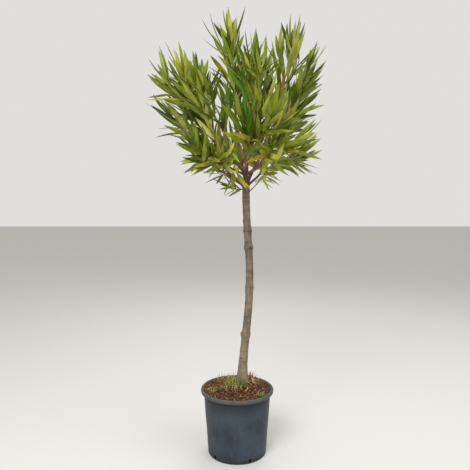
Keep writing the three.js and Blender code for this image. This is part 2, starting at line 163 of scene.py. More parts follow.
# Camera, light and floor

camera = {"place": (-0.0102, -2.390, 1.234), "tilt": 5.0, "lens": 40.2, "sensor": 36.0}
lightPlan = {
    "sky": (1.0, 0.99, 0.97, 1.0), "skyStrength": 0.75, "aim": (0.0, 0.0, 1.1),
    "lamps": (  # name, place, size, power
        ("keyLamp", (-1.2, -2.9, 3.4), 1.8, 148.0), ("fillLamp", (2.6, -1.6, 2.2), 2.4, 38.0),
        ("backLamp", (0.8, 2.6, 3.2), 2.0, 45.0),
    ),
}
floorPlan = {"size": 30.0, "colour": tone(200, 199, 195), "roughness": 0.9}


def makeCamera():
    lens = bpy.data.cameras.new("photoCamera")
    lens.lens = camera["lens"]
    lens.sensor_width = camera["sensor"]
    made = link(bpy.data.objects.new("photoCamera", lens))
    made.location = camera["place"]
    made.rotation_euler = (math.radians(90 - camera["tilt"]), 0, 0)
    bpy.context.scene.camera = made


def makeLight():
    world = bpy.data.worlds.new("softSky")
    world.use_nodes = True
    sky = world.node_tree.nodes["Background"]
    sky.inputs["Color"].default_value = lightPlan["sky"]
    sky.inputs["Strength"].default_value = lightPlan["skyStrength"]
    bpy.context.scene.world = world
    for name, place, size, power in lightPlan["lamps"]:
        lamp = bpy.data.lights.new(name, "AREA")
        lamp.size = size
        lamp.energy = power
        made = link(bpy.data.objects.new(name, lamp))
        made.location = place
        toward = Vector(lightPlan["aim"]) - Vector(place)
        made.rotation_euler = toward.to_track_quat("-Z", "Y").to_euler()


def makeFloor():
    half = floorPlan["size"] / 2
    corners = [(-half, -half, 0), (half, -half, 0), (half, half, 0), (-half, half, 0)]
    finish = bpy.data.materials.new("paleFloor")
    finish.use_nodes = True
    shader = finish.node_tree.nodes["Principled BSDF"]
    shader.inputs["Base Color"].default_value = floorPlan["colour"]
    shader.inputs["Roughness"].default_value = floorPlan["roughness"]
    withFinish(meshObject("floor", corners, [(0, 1, 2, 3)]), finish)


bpy.context.scene.view_settings.view_transform = "Standard"
makeCamera()
makeLight()
makeFloor()
print("camera, light and floor set")


# Node trees: a socket that takes part in sums, finishes, and Geometry Nodes

class Wire:
    def __init__(self, tree, socket):
        self.tree = tree
        self.socket = socket

    def __add__(self, other):
        return self.tree.sum("ADD", self, other)

    def __sub__(self, other):
        return self.tree.sum("SUBTRACT", self, other)

    def __rsub__(self, other):
        return self.tree.sum("SUBTRACT", other, self)

    def __mul__(self, other):
        return self.tree.sum("MULTIPLY", self, other)

    __radd__ = __add__
    __rmul__ = __mul__


class Tree:
    def __init__(self, nodes):
        self.nodes = nodes

    def node(self, kind, settings, sockets, output=0):
        made = self.nodes.nodes.new(kind)
        for key, value in settings.items():
            setattr(made, key, value)
        for key, value in sockets.items():
            self.feed(made.inputs[key], value)
        return Wire(self, made.outputs[output])

    def feed(self, socket, value):
        if isinstance(value, Wire):
            self.nodes.links.new(value.socket, socket)
        else:
            socket.default_value = value

    def sum(self, operation, first, second):
        return self.node("ShaderNodeMath", {"operation": operation}, {0: first, 1: second})


class Finish(Tree):
    def __init__(self, name, gloss=0.5):
        self.material = bpy.data.materials.new(name)
        self.material.use_nodes = True
        super().__init__(self.material.node_tree)
        self.shader = self.nodes.nodes["Principled BSDF"]
        self.shader.inputs["Specular IOR Level"].default_value = gloss
        self.place = self.node("ShaderNodeTexCoord", {}, {}, "Object")

    def spot(self, upright):
        # the place on the piece, with its height scaled by upright
        if upright == 1:
            return self.place
        return self.node("ShaderNodeMapping", {}, {"Vector": self.place, "Scale": (1.0, 1.0, upright)})

    def cloud(self, scale, detail=3.0, roughness=0.55, upright=1):
        sockets = {"Vector": self.spot(upright), "Scale": scale, "Detail": detail, "Roughness": roughness}
        return self.node("ShaderNodeTexNoise", {}, sockets, "Fac")

    def cells(self, scale, upright=1):
        sockets = {"Vector": self.spot(upright), "Scale": scale}
        return self.node("ShaderNodeTexVoronoi", {}, sockets, "Distance")

    def between(self, value, low, high):
        # 0 at low and 1 at high, smoothly
        sockets = {"Value": value, "From Min": low, "From Max": high}
        return self.node("ShaderNodeMapRange", {"interpolation_type": "SMOOTHSTEP"}, sockets)

    def height(self):
        return self.node("ShaderNodeSeparateXYZ", {}, {0: self.place}, "Z")

    def stored(self, label):
        return self.node("ShaderNodeAttribute", {"attribute_name": label}, {}, "Fac")

    def blend(self, share, first, second):
        self.colour = self.node("ShaderNodeMix", {"data_type": "RGBA"}, {0: share, 6: first, 7: second}, 2)

    def ground(self, share, dark, light):
        self.blend(share, tone(*dark), tone(*light))

    def over(self, share, shade):
        # a share of one tone over the colour so far
        self.blend(share, self.colour, tone(*shade))

    def layer(self, value, low, high, most, shade):
        self.over(self.between(value, low, high) * most, shade)

    def paint(self, roughness, relief, depth, strength):
        sockets = {"Height": relief, "Distance": depth, "Strength": strength}
        bump = self.node("ShaderNodeBump", {}, sockets, "Normal")
        for label, value in {"Base Color": self.colour, "Roughness": roughness, "Normal": bump}.items():
            self.feed(self.shader.inputs[label], value)
        return self.material


socketKinds = {
    float: "NodeSocketFloat", int: "NodeSocketInt", bpy.types.Object: "NodeSocketObject",
    bpy.types.Material: "NodeSocketMaterial",
}


class Growth(Tree):
    # a Geometry Nodes tree with named inputs, the last of them its finish
    def __init__(self, name, finish, sizes):
        super().__init__(bpy.data.node_groups.new(name, "GeometryNodeTree"))
        face = self.nodes.interface
        face.new_socket("Geometry", in_out="INPUT", socket_type="NodeSocketGeometry")
        face.new_socket("Geometry", in_out="OUTPUT", socket_type="NodeSocketGeometry")
        self.values = {}
        for label, value in {**sizes, "Finish": finish}.items():
            socket = face.new_socket(label, in_out="INPUT", socket_type=socketKinds[type(value)])
            self.values[socket.identifier] = value
        self.entry = self.nodes.nodes.new("NodeGroupInput")
        self.exit = self.nodes.nodes.new("NodeGroupOutput")

    def given(self, label):
        return Wire(self, self.entry.outputs[label])

    def named(self, label, kind):
        return self.node("GeometryNodeInputNamedAttribute", {"data_type": kind}, {"Name": label}, "Attribute")

    def chance(self, low, high, seed):
        return self.node("FunctionNodeRandomValue", {}, {2: low, 3: high, "Seed": seed}, 1)

    def real(self, shape):
        return self.node("GeometryNodeRealizeInstances", {}, {"Geometry": shape})

    def stood(self, label, points, turn, size):
        # the object of that input on every point, as real geometry
        single = self.node("GeometryNodeObjectInfo", {}, {"Object": self.given(label)}, "Geometry")
        turned = self.node("FunctionNodeEulerToRotation", {}, {0: turn})
        return self.real(self.node("GeometryNodeInstanceOnPoints", {}, {
            "Points": points, "Instance": single, "Rotation": turned, "Scale": size}))

    def grow(self, shape, on, name):
        # ends the tree, runs it on the object and gives the plain mesh
        done = self.node("GeometryNodeSetMaterial", {}, {"Geometry": shape, "Material": self.given("Finish")})
        self.feed(self.exit.inputs["Geometry"], done)
        rule = on.modifiers.new("growth", "NODES")
        rule.node_group = self.nodes
        for identifier, value in self.values.items():
            rule[identifier] = value
        return tidied(baked(on, name))


# Finishes of the plant

def leafFinish(name, dark, light, roughness=0.42, gloss=0.38):
    finish = Finish(name, gloss)
    patches = finish.between(finish.cloud(16.0, 2.0), 0.36, 0.64)
    flecks = finish.cloud(130.0, 2.0)
    finish.ground(patches * 0.75 + flecks * 0.25, dark, light)
    return finish.paint(roughness - 0.06 + 0.14 * flecks, finish.cloud(420.0, 1.0), 0.0004, 0.35)


def trunkFinish():
    finish = Finish("trunkBark", 0.3)
    broad, mottle = finish.cloud(16.0, 4.0, 0.6, 0.45), finish.cloud(58.0, 4.0, 0.6, 0.55)
    streaks = finish.cloud(120.0, 4.0, 0.65, 0.14)
    rings, height = finish.stored("ring"), finish.height()
    specks = finish.between(finish.cells(150.0, 1.9), 0.22, 0.10)
    finish.ground(finish.between(broad, 0.36, 0.64), (84, 80, 68), (118, 102, 84))
    finish.layer(mottle, 0.50, 0.64, 0.50, (138, 118, 96))
    finish.layer(mottle, 0.48, 0.36, 0.45, (80, 80, 64))
    finish.layer(height, 0.68, 0.45, 0.30, (160, 144, 118))
    finish.layer(streaks, 0.46, 0.70, 0.45, (70, 58, 48))
    finish.layer(rings, 0.35, 0.95, 0.60, (60, 46, 38))
    finish.over(specks * 0.40, (162, 148, 122))
    finish.layer(finish.stored("scar"), 0.30, 0.70, 0.90, (40, 28, 22))
    # young bark under the fork and a green foot
    finish.layer(height + finish.cloud(30.0) * 0.05, 1.235, 1.290, 0.8, (116, 78, 52))
    finish.layer(height + finish.cloud(22.0) * 0.07, 0.415, 0.345, 0.45, (92, 98, 62))
    relief = streaks * 0.5 + finish.cloud(260.0, 3.0) * 0.35 + mottle * 0.3 - rings * 0.4 + specks * 0.3
    return finish.paint(0.78 + 0.16 * streaks, relief, 0.0018, 0.9)


def boughFinish():
    finish = Finish("youngBark")
    streaks = finish.cloud(120.0, 3.0, 0.6, 0.3)
    specks = finish.between(finish.cells(230.0), 0.20, 0.08)
    finish.ground(finish.between(finish.cloud(18.0, 3.0), 0.35, 0.66), (78, 50, 36), (112, 76, 54))
    finish.layer(streaks, 0.42, 0.70, 0.5, (62, 40, 30))
    finish.over(specks * 0.40, (146, 120, 92))
    finish.layer(finish.height() + finish.cloud(26.0) * 0.10, 1.36, 1.48, 0.4, (116, 102, 56))
    relief = streaks * 0.5 + finish.cloud(300.0, 2.0) * 0.3 + specks * 0.3
    return finish.paint(0.6 + 0.18 * streaks, relief, 0.0010, 0.7)


def stemFinish(name, dark, light):
    finish = Finish(name)
    streaks = finish.cloud(150.0, 3.0, 0.6, 0.35)
    finish.ground(finish.between(streaks, 0.36, 0.66), dark, light)
    return finish.paint(0.5 + 0.15 * streaks, streaks, 0.0006, 0.6)


# The plant's plan, with the same named sizes as its source

trunkPlan = {
    "foot": np.array((0.024, 0.025, 0.3263)), "fork": np.array((0.040, 0.0, 1.256)), "bow": 0.025,
    "radius": 0.017, "footRadius": 0.033, "flareShare": 0.05, "taper": 0.0035,
    "knots": ((0.25, 0.004), (0.49, 0.002), (0.69, 0.004), (0.77, 0.0025)), "knotShare": 0.016,
}
boughPlan = {  # parent, share of the parent's length, end, radii
    "bough_centre": ("trunk", 0.985, (0.005, 0.012, 1.440), (0.0105, 0.0065)),
    "bough_right": ("trunk", 0.98, (0.125, 0.0, 1.440), (0.010, 0.0065)),
    "bough_right_low": ("trunk", 0.975, (0.105, -0.025, 1.312), (0.0075, 0.006)),
    "bough_left": ("trunk", 0.98, (-0.120, 0.005, 1.360), (0.008, 0.006)),
    "bough_front": ("trunk", 0.975, (0.035, -0.085, 1.335), (0.0075, 0.006)),
    "bough_back": ("trunk", 0.978, (0.050, 0.115, 1.370), (0.0085, 0.006)),
    "bough_left_rise": ("bough_left", 0.4, (-0.085, -0.035, 1.415), (0.007, 0.006)),
    "bough_middle": ("bough_centre", 0.5, (0.065, -0.040, 1.425), (0.007, 0.006)),
    "bough_right_rise": ("bough_right", 0.4, (0.180, 0.010, 1.400), (0.007, 0.006)),
    "bough_inner_left": ("bough_centre", 0.3, (-0.030, -0.050, 1.385), (0.007, 0.006)),
    "bough_front_left": ("trunk", 0.968, (-0.062, -0.085, 1.318), (0.007, 0.006)),
    "bough_front_right": ("bough_front", 0.55, (0.100, -0.115, 1.345), (0.007, 0.006)),
    "bough_back_left": ("bough_back", 0.35, (-0.060, 0.115, 1.365), (0.007, 0.006)),
    "bough_back_right": ("bough_back", 0.45, (0.125, 0.120, 1.370), (0.007, 0.006)),
    "bough_back_low": ("bough_back", 0.6, (0.030, 0.180, 1.340), (0.007, 0.006)),
}
massPlan = {  # bough, or height, turn and lift on the trunk; top of the leading stem; shoots, spread, seed
    "leaves_top_left": ("bough_centre", (-0.025, 0.025, 1.888), 3, 0.045, 36),
    "leaves_top_right": ("bough_right", (0.240, 0.0, 1.852), 3, 0.060, 32),
    "leaves_right_fan": ("bough_right_low", (0.212, -0.035, 1.410), 3, 0.050, 16),
    "leaves_outer_left": ("bough_left", (-0.280, 0.035, 1.585), 3, 0.030, 65),
    "leaves_front": ("bough_front", (0.100, -0.275, 1.545), 3, 0.085, 46),
    "leaves_back": ("bough_back", (0.075, 0.200, 1.800), 3, 0.075, 77),
    "leaves_left_top": ("bough_left_rise", (-0.240, -0.035, 1.742), 3, 0.065, 25),
    "leaves_middle": ("bough_middle", (0.055, -0.115, 1.770), 2, 0.065, 16),
    "leaves_right": ("bough_right_rise", (0.300, -0.025, 1.778), 2, 0.045, 37),
    "leaves_inner_left": ("bough_inner_left", (-0.065, -0.110, 1.640), 2, 0.080, 93),
    "leaves_front_left": ("bough_front_left", (-0.130, -0.185, 1.420), 3, 0.065, 6),
    "leaves_front_right": ("bough_front_right", (0.180, -0.255, 1.455), 2, 0.080, 20),
    "leaves_back_left": ("bough_back_left", (-0.215, 0.220, 1.700), 2, 0.050, 19),
    "leaves_back_right": ("bough_back_right", (0.252, 0.180, 1.680), 2, 0.080, 87),
    "leaves_back_low": ("bough_back_low", (-0.015, 0.325, 1.445), 2, 0.085, 62),
    "leaves_low_left": ((1.212, 250, 40), (-0.025, -0.125, 1.390), 1, 0.030, 5),
    "leaves_low_right": ((1.216, 320, 40), (0.158, -0.085, 1.368), 1, 0.030, 5),
    "sprig_low": ((1.232, 184, 0), (-0.044, -0.008, 1.256), 0, 0.0, 18),
}
droops = {"leaves_right_fan": 0.15, "leaves_low_left": 1.1, "leaves_low_right": 0.7, "sprig_low": 0.35}
leafScales = {"leaves_low_left": 0.6, "leaves_low_right": 0.56, "sprig_low": 0.48}
bareShares = {"leaves_low_left": 0.56, "leaves_low_right": 0.55}
limbBend = {"reach": 0.36, "upturn": 0.5}
clearance = 0.0003
stemPlan = {"foot": 0.0062, "step": 0.086, "bare": 0.1, "rooted": 0.7}
shootPlan = {
    "partings": (0.18, 0.5), "partingJitter": 0.5, "drops": (0.3, 0.9), "turnJitter": 0.7, "bare": 0.3,
}
whorlPlan = {
    "leaves": 3, "spacing": 0.046, "last": 0.985, "angles": (44, 14), "droops": (60, 50),
    "angleJitter": 14, "turnJitter": 0.6, "risePower": 0.8, "leastSide": 1e-3,
}
leafPlan = {
    "length": 0.160, "width": 0.026, "widest": 0.42, "lengths": (0.85, 1.12), "widths": (0.85, 1.1),
    "arches": (0.06, -0.06), "archRange": (0.5, 1.3), "roll": 50,
    "apart": 0.012, "offStem": 0.008, "offLimb": 0.003, "offOthers": 0.0015,
    "checkedAt": (0.15, 0.3, 0.42, 0.6, 0.8, 1.0), "outerFrom": 0.2,
    "tries": (1, 1.25, 0.8, 1.5, 0.65),
}
chordLength = 0.020
drawStarts = {"leaves": 100, "twigs": 200, "infill": 300, "thinning": 500, "boughTwigs": 700}


class Line:
    # a curve that can be read at shares of its length
    steps, probe = 200, 1e-4

    def __init__(self, pointAt):
        self.pointAt = pointAt
        self.times = np.linspace(0, 1, self.steps + 1)
        points = np.array([pointAt(time) for time in self.times])
        self.lengths = np.concatenate([[0], np.cumsum(np.linalg.norm(np.diff(points, axis=0), axis=1))])
        self.length = self.lengths[-1]

    def time(self, share):
        return np.interp(share * self.length, self.lengths, self.times)

    def at(self, share):
        return self.pointAt(self.time(share))

    def heading(self, share):
        time = self.time(share)
        return unit(self.pointAt(min(1, time + self.probe)) - self.pointAt(max(0, time - self.probe)))

    def spaced(self, count):
        return np.array([self.at(i / count) for i in range(count + 1)])


def trunkPoint(time):
    point = mix(trunkPlan["foot"], trunkPlan["fork"], time)
    point[0] += trunkPlan["bow"] * math.sin(math.pi * time) ** 2
    point[1] = trunkPlan["foot"][1] * (1 - time) ** 2
    return point


def trunkRadius(share):
    swollen = sum(swell * math.exp(-((share - knot) / trunkPlan["knotShare"]) ** 2)
                  for knot, swell in trunkPlan["knots"])
    flare = trunkPlan["footRadius"] - trunkPlan["radius"] - trunkPlan["taper"]
    flare *= math.exp(-share / trunkPlan["flareShare"])
    return trunkPlan["radius"] + trunkPlan["taper"] * (1 - share) ** 3 + flare + swollen


def bentLine(start, heading, end):
    # sets off along a heading and turns upward to its end
    reach = np.linalg.norm(end - start) * limbBend["reach"]
    arrival = unit(mix(unit(end - start), np.array((0.0, 0.0, 1.0)), limbBend["upturn"]))
    first, last = start + heading * reach, end - arrival * reach

    def pointAt(time):
        rest = 1 - time
        leaving = rest ** 3 * start + 3 * rest ** 2 * time * first
        return leaving + 3 * rest * time ** 2 * last + time ** 3 * end
    return Line(pointAt)


def limbLines():
    lines = {"trunk": (Line(trunkPoint), trunkRadius)}
    for name, (parent, share, end, radii) in boughPlan.items():
        line = lines[parent][0]
        start, end = line.at(share), np.array(end)
        heading = unit(line.heading(share) + unit(end - start))
        lines[name] = (bentLine(start, heading, end), lambda share, radii=radii: mix(*radii, share))
    return lines


def chords(line):
    # the line as short straight pieces: their starts and ends
    points = line.spaced(max(2, math.ceil(line.length / chordLength)))
    return points[:-1], points[1:]


def turned(vector, axis, angle):
    return np.array(Matrix.Rotation(angle, 3, Vector(axis)) @ Vector(vector))


limbs = limbLines()


def stemStart(spot):
    if isinstance(spot, str):
        line = limbs[spot][0]
        return line.at(1) + line.heading(1) * clearance, line.heading(1)
    height, turn, lift = spot
    low, high = trunkPlan["foot"][2], trunkPlan["fork"][2]
    share = (height - low) / (high - low)
    outward, lift = around(math.radians(turn)), math.radians(lift)
    heading = outward * math.cos(lift) + np.array((0.0, 0.0, math.sin(lift)))
    return trunkPoint(share) + outward * trunkRadius(share) * stemPlan["rooted"], heading


def stemsOf(name):
    # the leading stem from the bough's tip to the top of the mass, then the shoots that leave it in turn
    spot, top, shoots, spread, seed = massPlan[name]
    start, heading = stemStart(spot)
    leader = bentLine(start, heading, np.array(top))
    stems = [{"line": leader, "bare": bareShares.get(name, stemPlan["bare"]), "order": 0, "from": 0.0}]
    draw = seededNumbers(seed)
    firstTurn = draw() * fullTurn
    for i, ahead in enumerate(turns(shoots)):
        parting = mix(*shootPlan["partings"], (i + draw() * shootPlan["partingJitter"]) / shoots)
        turn = firstTurn + ahead + (draw() - 0.5) * shootPlan["turnJitter"]
        away = around(turn, -mix(*shootPlan["drops"], draw()))
        foot, end = leader.at(parting), leader.at(1) + away * spread
        line = bentLine(foot, unit(leader.heading(parting) + unit(end - foot)), end)
        stems.append({"line": line, "bare": shootPlan["bare"], "order": 1, "from": parting})
    return stems


stems = {name: stemsOf(name) for name in massPlan}
print("stems grown:", sum(len(row) for row in stems.values()))


def gathered(pairs):
    starts, ends = zip(*pairs)
    return np.concatenate(starts), np.concatenate(ends)


def gaps(points, pieces):
    # from each point to each of the straight pieces
    starts, ends = pieces
    along = ends - starts
    offset = points[:, None, :] - starts[None]
    share = np.clip((offset * along).sum(2) / (along ** 2).sum(1), 0, 1)
    return np.linalg.norm(offset - share[..., None] * along, axis=2)


stemPieces = {name: gathered([chords(stem["line"]) for stem in row]) for name, row in stems.items()}
limbChords = [(chords(line), radiusAt) for line, radiusAt in limbs.values()]
limbPieces = gathered([pieces for pieces, _ in limbChords])
limbRadii = np.concatenate([
    [radiusAt(i / len(starts)) for i in range(len(starts))] for (starts, _), radiusAt in limbChords
])


def offLimbs(points):
    return (gaps(points, limbPieces) - limbRadii).min(1)


# Leaves: where each one stands

def leafShape(root, along, outward, angle, length, arch, roll, **rest):
    direction = along * math.cos(angle) + outward * math.sin(angle)
    side = unit(np.cross(along, outward))
    side = side * math.cos(roll) + np.cross(direction, side) * math.sin(roll)
    face = unit(np.cross(direction, side))
    middle = root + direction * length * leafPlan["widest"] + face * length * arch
    return {
        "root": root, "direction": direction, "side": side, "face": face, "length": length, "arch": arch,
        "middle": middle, "tip": root + direction * length, **rest,
    }


def leafPoint(leaf, share):
    widest = leafPlan["widest"]
    if share < widest:
        return mix(leaf["root"], leaf["middle"], share / widest)
    return mix(leaf["middle"], leaf["tip"], (share - widest) / (1 - widest))


def leafFits(leaf, own, others, placed, apart):
    # it keeps to its own mass's space, clear of every limb and of the leaves before it
    widest, shares = leafPlan["widest"], np.array(leafPlan["checkedAt"])
    points = np.array([leafPoint(leaf, share) for share in shares])
    half = leaf["width"] / 2 * np.where(shares < widest, shares / widest, (1 - shares) / (1 - widest))
    if (offLimbs(points) <= half + leafPlan["offLimb"]).any():
        return False
    outer = shares >= leafPlan["outerFrom"]
    if own is not None:
        toOwn = gaps(points, own).min(1)
        tooNear = gaps(points, others).min(1) < toOwn + 2 * half + leafPlan["offOthers"]
        if tooNear.any() or (toOwn[outer] < leafPlan["offStem"]).any():
            return False
    before = np.array(placed)
    return not placed or not (gaps(points[outer], (before[:, 0], before[:, 1])).min(1) < apart).any()


def kept(leaf, found, apart):
    # the leaf joins those found if it fits
    made, placed, own, others = found
    fits = leafFits(leaf, own, others, placed, apart)
    if fits:
        made.append(leaf)
        placed += [(leaf["root"], leaf["middle"]), (leaf["middle"], leaf["tip"])]
    return fits


def rootAt(line, share):
    steps = max(2, math.ceil(line.length / stemPlan["step"]))
    piece = min(steps - 1, math.floor(share * steps))
    return mix(line.at(piece / steps), line.at((piece + 1) / steps), share * steps - piece)


def whorl(name, stem, share, rise, ring, draw):
    # one whorl of leaves, with its draws in the source's order
    droop, scale = droops.get(name, 0), leafScales.get(name, 1)
    along = stem["line"].heading(share)
    first = np.cross(along, (0, 0, 1))
    first = unit(first) if first @ first >= whorlPlan["leastSide"] else np.array((1.0, 0.0, 0.0))
    firstTurn = ring * math.pi / whorlPlan["leaves"] + draw() * whorlPlan["turnJitter"]
    risen = rise ** whorlPlan["risePower"]
    opened = mix(*whorlPlan["angles"], risen) + droop * mix(*whorlPlan["droops"], risen)
    for ahead in turns(whorlPlan["leaves"]):
        yield {
            "along": along, "outward": turned(first, along, firstTurn + ahead),
            "length": leafPlan["length"] * scale * mix(*leafPlan["lengths"], draw()),
            "angle": math.radians(opened + (draw() - 0.5) * whorlPlan["angleJitter"]),
            "arch": mix(*leafPlan["arches"], rise) * mix(*leafPlan["archRange"], draw()),
            "roll": math.radians(leafPlan["roll"]) * (draw() * 2 - 1),
            "width": leafPlan["width"] * math.sqrt(scale) * mix(*leafPlan["widths"], draw()),
            "rise": rise, "spray": stem["spray"], "mass": name,
        }


def whorlCount(line, bare, spacing):
    return max(2, math.floor(line.length * (1 - bare) / spacing + 0.5) + 1)


def drawFor(name, use):
    return seededNumbers(massPlan[name][4] + drawStarts[use])


def leavesOf(name):
    # the source's own leaves, each kept where the source keeps it
    others = gathered([pieces for other, pieces in stemPieces.items() if other != name])
    draw, scale = drawFor(name, "leaves"), leafScales.get(name, 1)
    found = ([], [], stemPieces[name], others)
    for stem in stems[name]:
        line, bare = stem["line"], stem["bare"]
        count = whorlCount(line, bare, whorlPlan["spacing"] * scale)
        for ring in range(count):
            rise = ring / (count - 1)
            share = mix(bare, whorlPlan["last"], rise)
            for plan in whorl(name, stem, share, rise, ring, draw):
                for widen in leafPlan["tries"]:
                    leaf = leafShape(rootAt(line, share), **{**plan, "angle": plan["angle"] * widen})
                    if kept(leaf, found, leafPlan["apart"] * scale):
                        break
    return found


# Infill: whorls between the source's own, and finer twigs, all within the same reach

infillPlan = {
    "apart": 0.0050, "width": 0.82, "open": (1.0, 1.9), "scale": 0.96, "tipScale": 0.62, "tipAt": 0.995,
    "margin": 0.004,
}
twigPlan = {
    "use": "twigs", "partings": (0.42, 0.80), "lengths": (0.060, 0.105), "angle": 34, "bare": 0.35,
    "leafScale": 0.74, "clear": 0.012,
}
boughTwigPlan = {
    "use": "boughTwigs", "partings": (0.5, 1.0), "lengths": (0.045, 0.080), "angle": 58, "bare": 0.45,
    "leafScale": 0.60, "clear": 0.004, "count": 1,
}
twigRule = {"spacing": 0.026, "aside": (0.3, 0.2, 1.0), "onward": 0.4, "leastRise": 0.35, "checked": 6}
massLooks = {
    # shares of the source's leaves and of the whorls between, twigs on a stem,
    # shares of deep and of green sprays; deep sprays stand mostly on the back and inside masses as painted
    # shade, the rest, olive, mostly on the front and low ones as painted light
    "leaves_top_left": (0.66, 0.45, 0, 0.2, 0.5), "leaves_top_right": (0.72, 0.55, 0, 0.46, 0.5),
    "leaves_right_fan": (1.0, 0.6, 1, 0.0, 0.4), "leaves_outer_left": (0.95, 0.35, 0, 0.3, 0.5),
    "leaves_front": (0.88, 0.5, 1, 0.2, 0.6), "leaves_back": (0.8, 0.45, 1, 0.7, 0.3),
    "leaves_left_top": (0.85, 0.4, 1, 0.2, 0.5), "leaves_middle": (0.62, 0.3, 2, 0.3, 0.6),
    "leaves_right": (0.9, 0.9, 1, 0.66, 0.3), "leaves_inner_left": (0.6, 0.25, 1, 0.4, 0.5),
    "leaves_front_left": (0.95, 0.8, 1, 0.0, 0.5), "leaves_front_right": (0.9, 0.5, 1, 0.0, 0.4),
    "leaves_back_left": (0.9, 0.5, 1, 0.5, 0.4), "leaves_back_right": (0.9, 0.7, 1, 0.66, 0.3),
    "leaves_back_low": (0.9, 0.7, 1, 0.3, 0.5), "sprig_low": (1.0, 0.5, 0, 0.0, 1.0),
    "leaves_low_left": (1.0, 0.4, 0), "leaves_low_right": (1.0, 0.3, 0),
}
widerWhorls = {"leaves_top_left": 1.5, "leaves_top_right": 1.3}  # factors on the angle and the tip's leaves


def insideReach(name, point):
    low, high = np.array(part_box(name))
    return (low - infillPlan["margin"] <= point).all() and (point <= high + infillPlan["margin"]).all()


def added(name, stem, share, rise, ring, draw, scale, found):
    # one more whorl, opened wider and scaled, each of its leaves only where it fits
    opening = mix(*infillPlan["open"], rise) * widerWhorls.get(name, 1)
    for plan in whorl(name, stem, share, rise, ring, draw):
        plan["angle"] *= opening
        plan["length"] *= scale
        plan["width"] *= math.sqrt(scale)
        leaf = leafShape(stem["line"].at(share), **plan)
        if found[2] is None or insideReach(name, leaf["tip"]):
            kept(leaf, found, infillPlan["apart"] * leafScales.get(name, 1))


def infill(name, found):
    draw, tipScale = drawFor(name, "infill"), infillPlan["tipScale"] * widerWhorls.get(name, 1)
    for stem in stems[name]:
        count = whorlCount(stem["line"], stem["bare"], whorlPlan["spacing"] * leafScales.get(name, 1))
        for ring in range(count - 1):
            rise = (ring + 0.5) / (count - 1)
            if draw() < massLooks[name][1]:
                share = mix(stem["bare"], whorlPlan["last"], rise)
                added(name, stem, share, rise, ring + 0.5, draw, infillPlan["scale"], found)
        added(name, stem, infillPlan["tipAt"], 1.0, 0.5, draw, tipScale, found)


def twigFrom(name, parent, parting, plan, draw, found):
    # a short leafy twig that leaves its parent at a share of its length, where there is room for it
    foot, along = parent["line"].at(parting), parent["line"].heading(parting)
    outward = turned(unit(np.cross(along, twigRule["aside"])), along, draw() * fullTurn)
    lean = math.radians(plan["angle"])
    heading = along * math.cos(lean) + outward * math.sin(lean)
    reach = unit(heading + twigRule["onward"] * along) * mix(*plan["lengths"], draw())
    line = bentLine(foot, heading, foot + reach)
    if (offLimbs(line.spaced(twigRule["checked"])[twigRule["checked"] // 2:]) < plan["clear"]).any():
        return None
    twig = {"line": line, "order": 2, "spray": parent["spray"]}
    count = whorlCount(line, plan["bare"], twigRule["spacing"])
    for ring in range(count):
        rise = ring / (count - 1)
        share = mix(plan["bare"], whorlPlan["last"], rise)
        added(name, twig, share, mix(twigRule["leastRise"], 1.0, rise), ring, draw, plan["leafScale"], found)
    return twig


def twigsOf(name, found):
    bough, grown = massPlan[name][0], [(twigPlan, stems[name], massLooks[name][2], found)]
    if isinstance(bough, str):
        parent = {"line": limbs[bough][0], "spray": stems[name][0]["spray"]}
        grown.append((boughTwigPlan, [parent], boughTwigPlan["count"], (*found[:2], None, None)))
    made = []
    for plan, parents, count, near in grown:
        draw = drawFor(name, plan["use"])
        for parent in parents:
            for i in range(count):
                parting = mix(*plan["partings"], (i + draw()) / count)
                made.append(twigFrom(name, parent, parting, plan, draw, near))
    return [twig for twig in made if twig]


# Tones are dealt out by spray: each stem with its leaves takes one, by the shares of its mass. The deep tone
# is partly painted shade, laid mostly on the back and inside of the crown, and the olive one partly painted
# light, laid mostly on its front and low masses

tones = ("deep", "green", "olive")
strayShares = (0.26, 0.18)  # of a spray's leaves: a step darker, a step lighter
freshSprays = {  # the stem of each of these masses that has a fresh spray
    "leaves_front": 1, "leaves_inner_left": 2, "leaves_middle": 1, "leaves_back_low": 0,
}
freshShare = 0.75
yellowing = {"masses": ("leaves_low_left", "leaves_low_right"), "below": 0.16, "yellow": 0.10, "ochre": 0.24}
toneDraws = 900


def dealTones():
    for index, (name, row) in enumerate(stems.items()):
        draw = seededNumbers(index + toneDraws)
        for place, stem in enumerate(row):
            if name in yellowing["masses"]:
                stem["spray"] = "yellow"
            elif place == freshSprays.get(name):
                stem["spray"] = "fresh"
            else:
                # deep sprays go mostly where the crown is shaded and olive ones where it is lit: painted
                # shade and painted light over a real spread of tones
                deep, green = massLooks[name][3:]
                drawn = draw()
                stem["spray"] = "deep" if drawn < deep else "green" if drawn < deep + green else "olive"


def toneOf(leaf, draw):
    # a leaf keeps its spray's tone or goes a step darker or lighter; low on a stem a few turn yellow or ochre
    drawn, shift = draw(), draw()
    isLow = leaf["rise"] < yellowing["below"]
    if leaf["spray"] == "yellow" or (isLow and drawn < yellowing["yellow"]):
        return "yellow"
    if isLow and drawn < yellowing["ochre"]:
        return "ochre"
    if leaf["spray"] == "fresh":
        return "fresh" if shift < freshShare else "green"
    step = -1 if shift < strayShares[0] else 1 if shift > 1 - strayShares[1] else 0
    return tones[min(len(tones) - 1, max(0, tones.index(leaf["spray"]) + step))]


dealTones()
leaves, twigs = [], {}
for name in massPlan:
    found, draw = leavesOf(name), drawFor(name, "thinning")
    found[0][:] = [leaf for leaf in found[0] if draw() < massLooks[name][0]]
    infill(name, found)
    twigs[name] = twigsOf(name, found)
    leaves += found[0]
print("leaves:", len(leaves), "finer twigs:", sum(len(row) for row in twigs.values()))


# Leaves: a blade folded along its midrib and the rib itself, set on points by Geometry Nodes

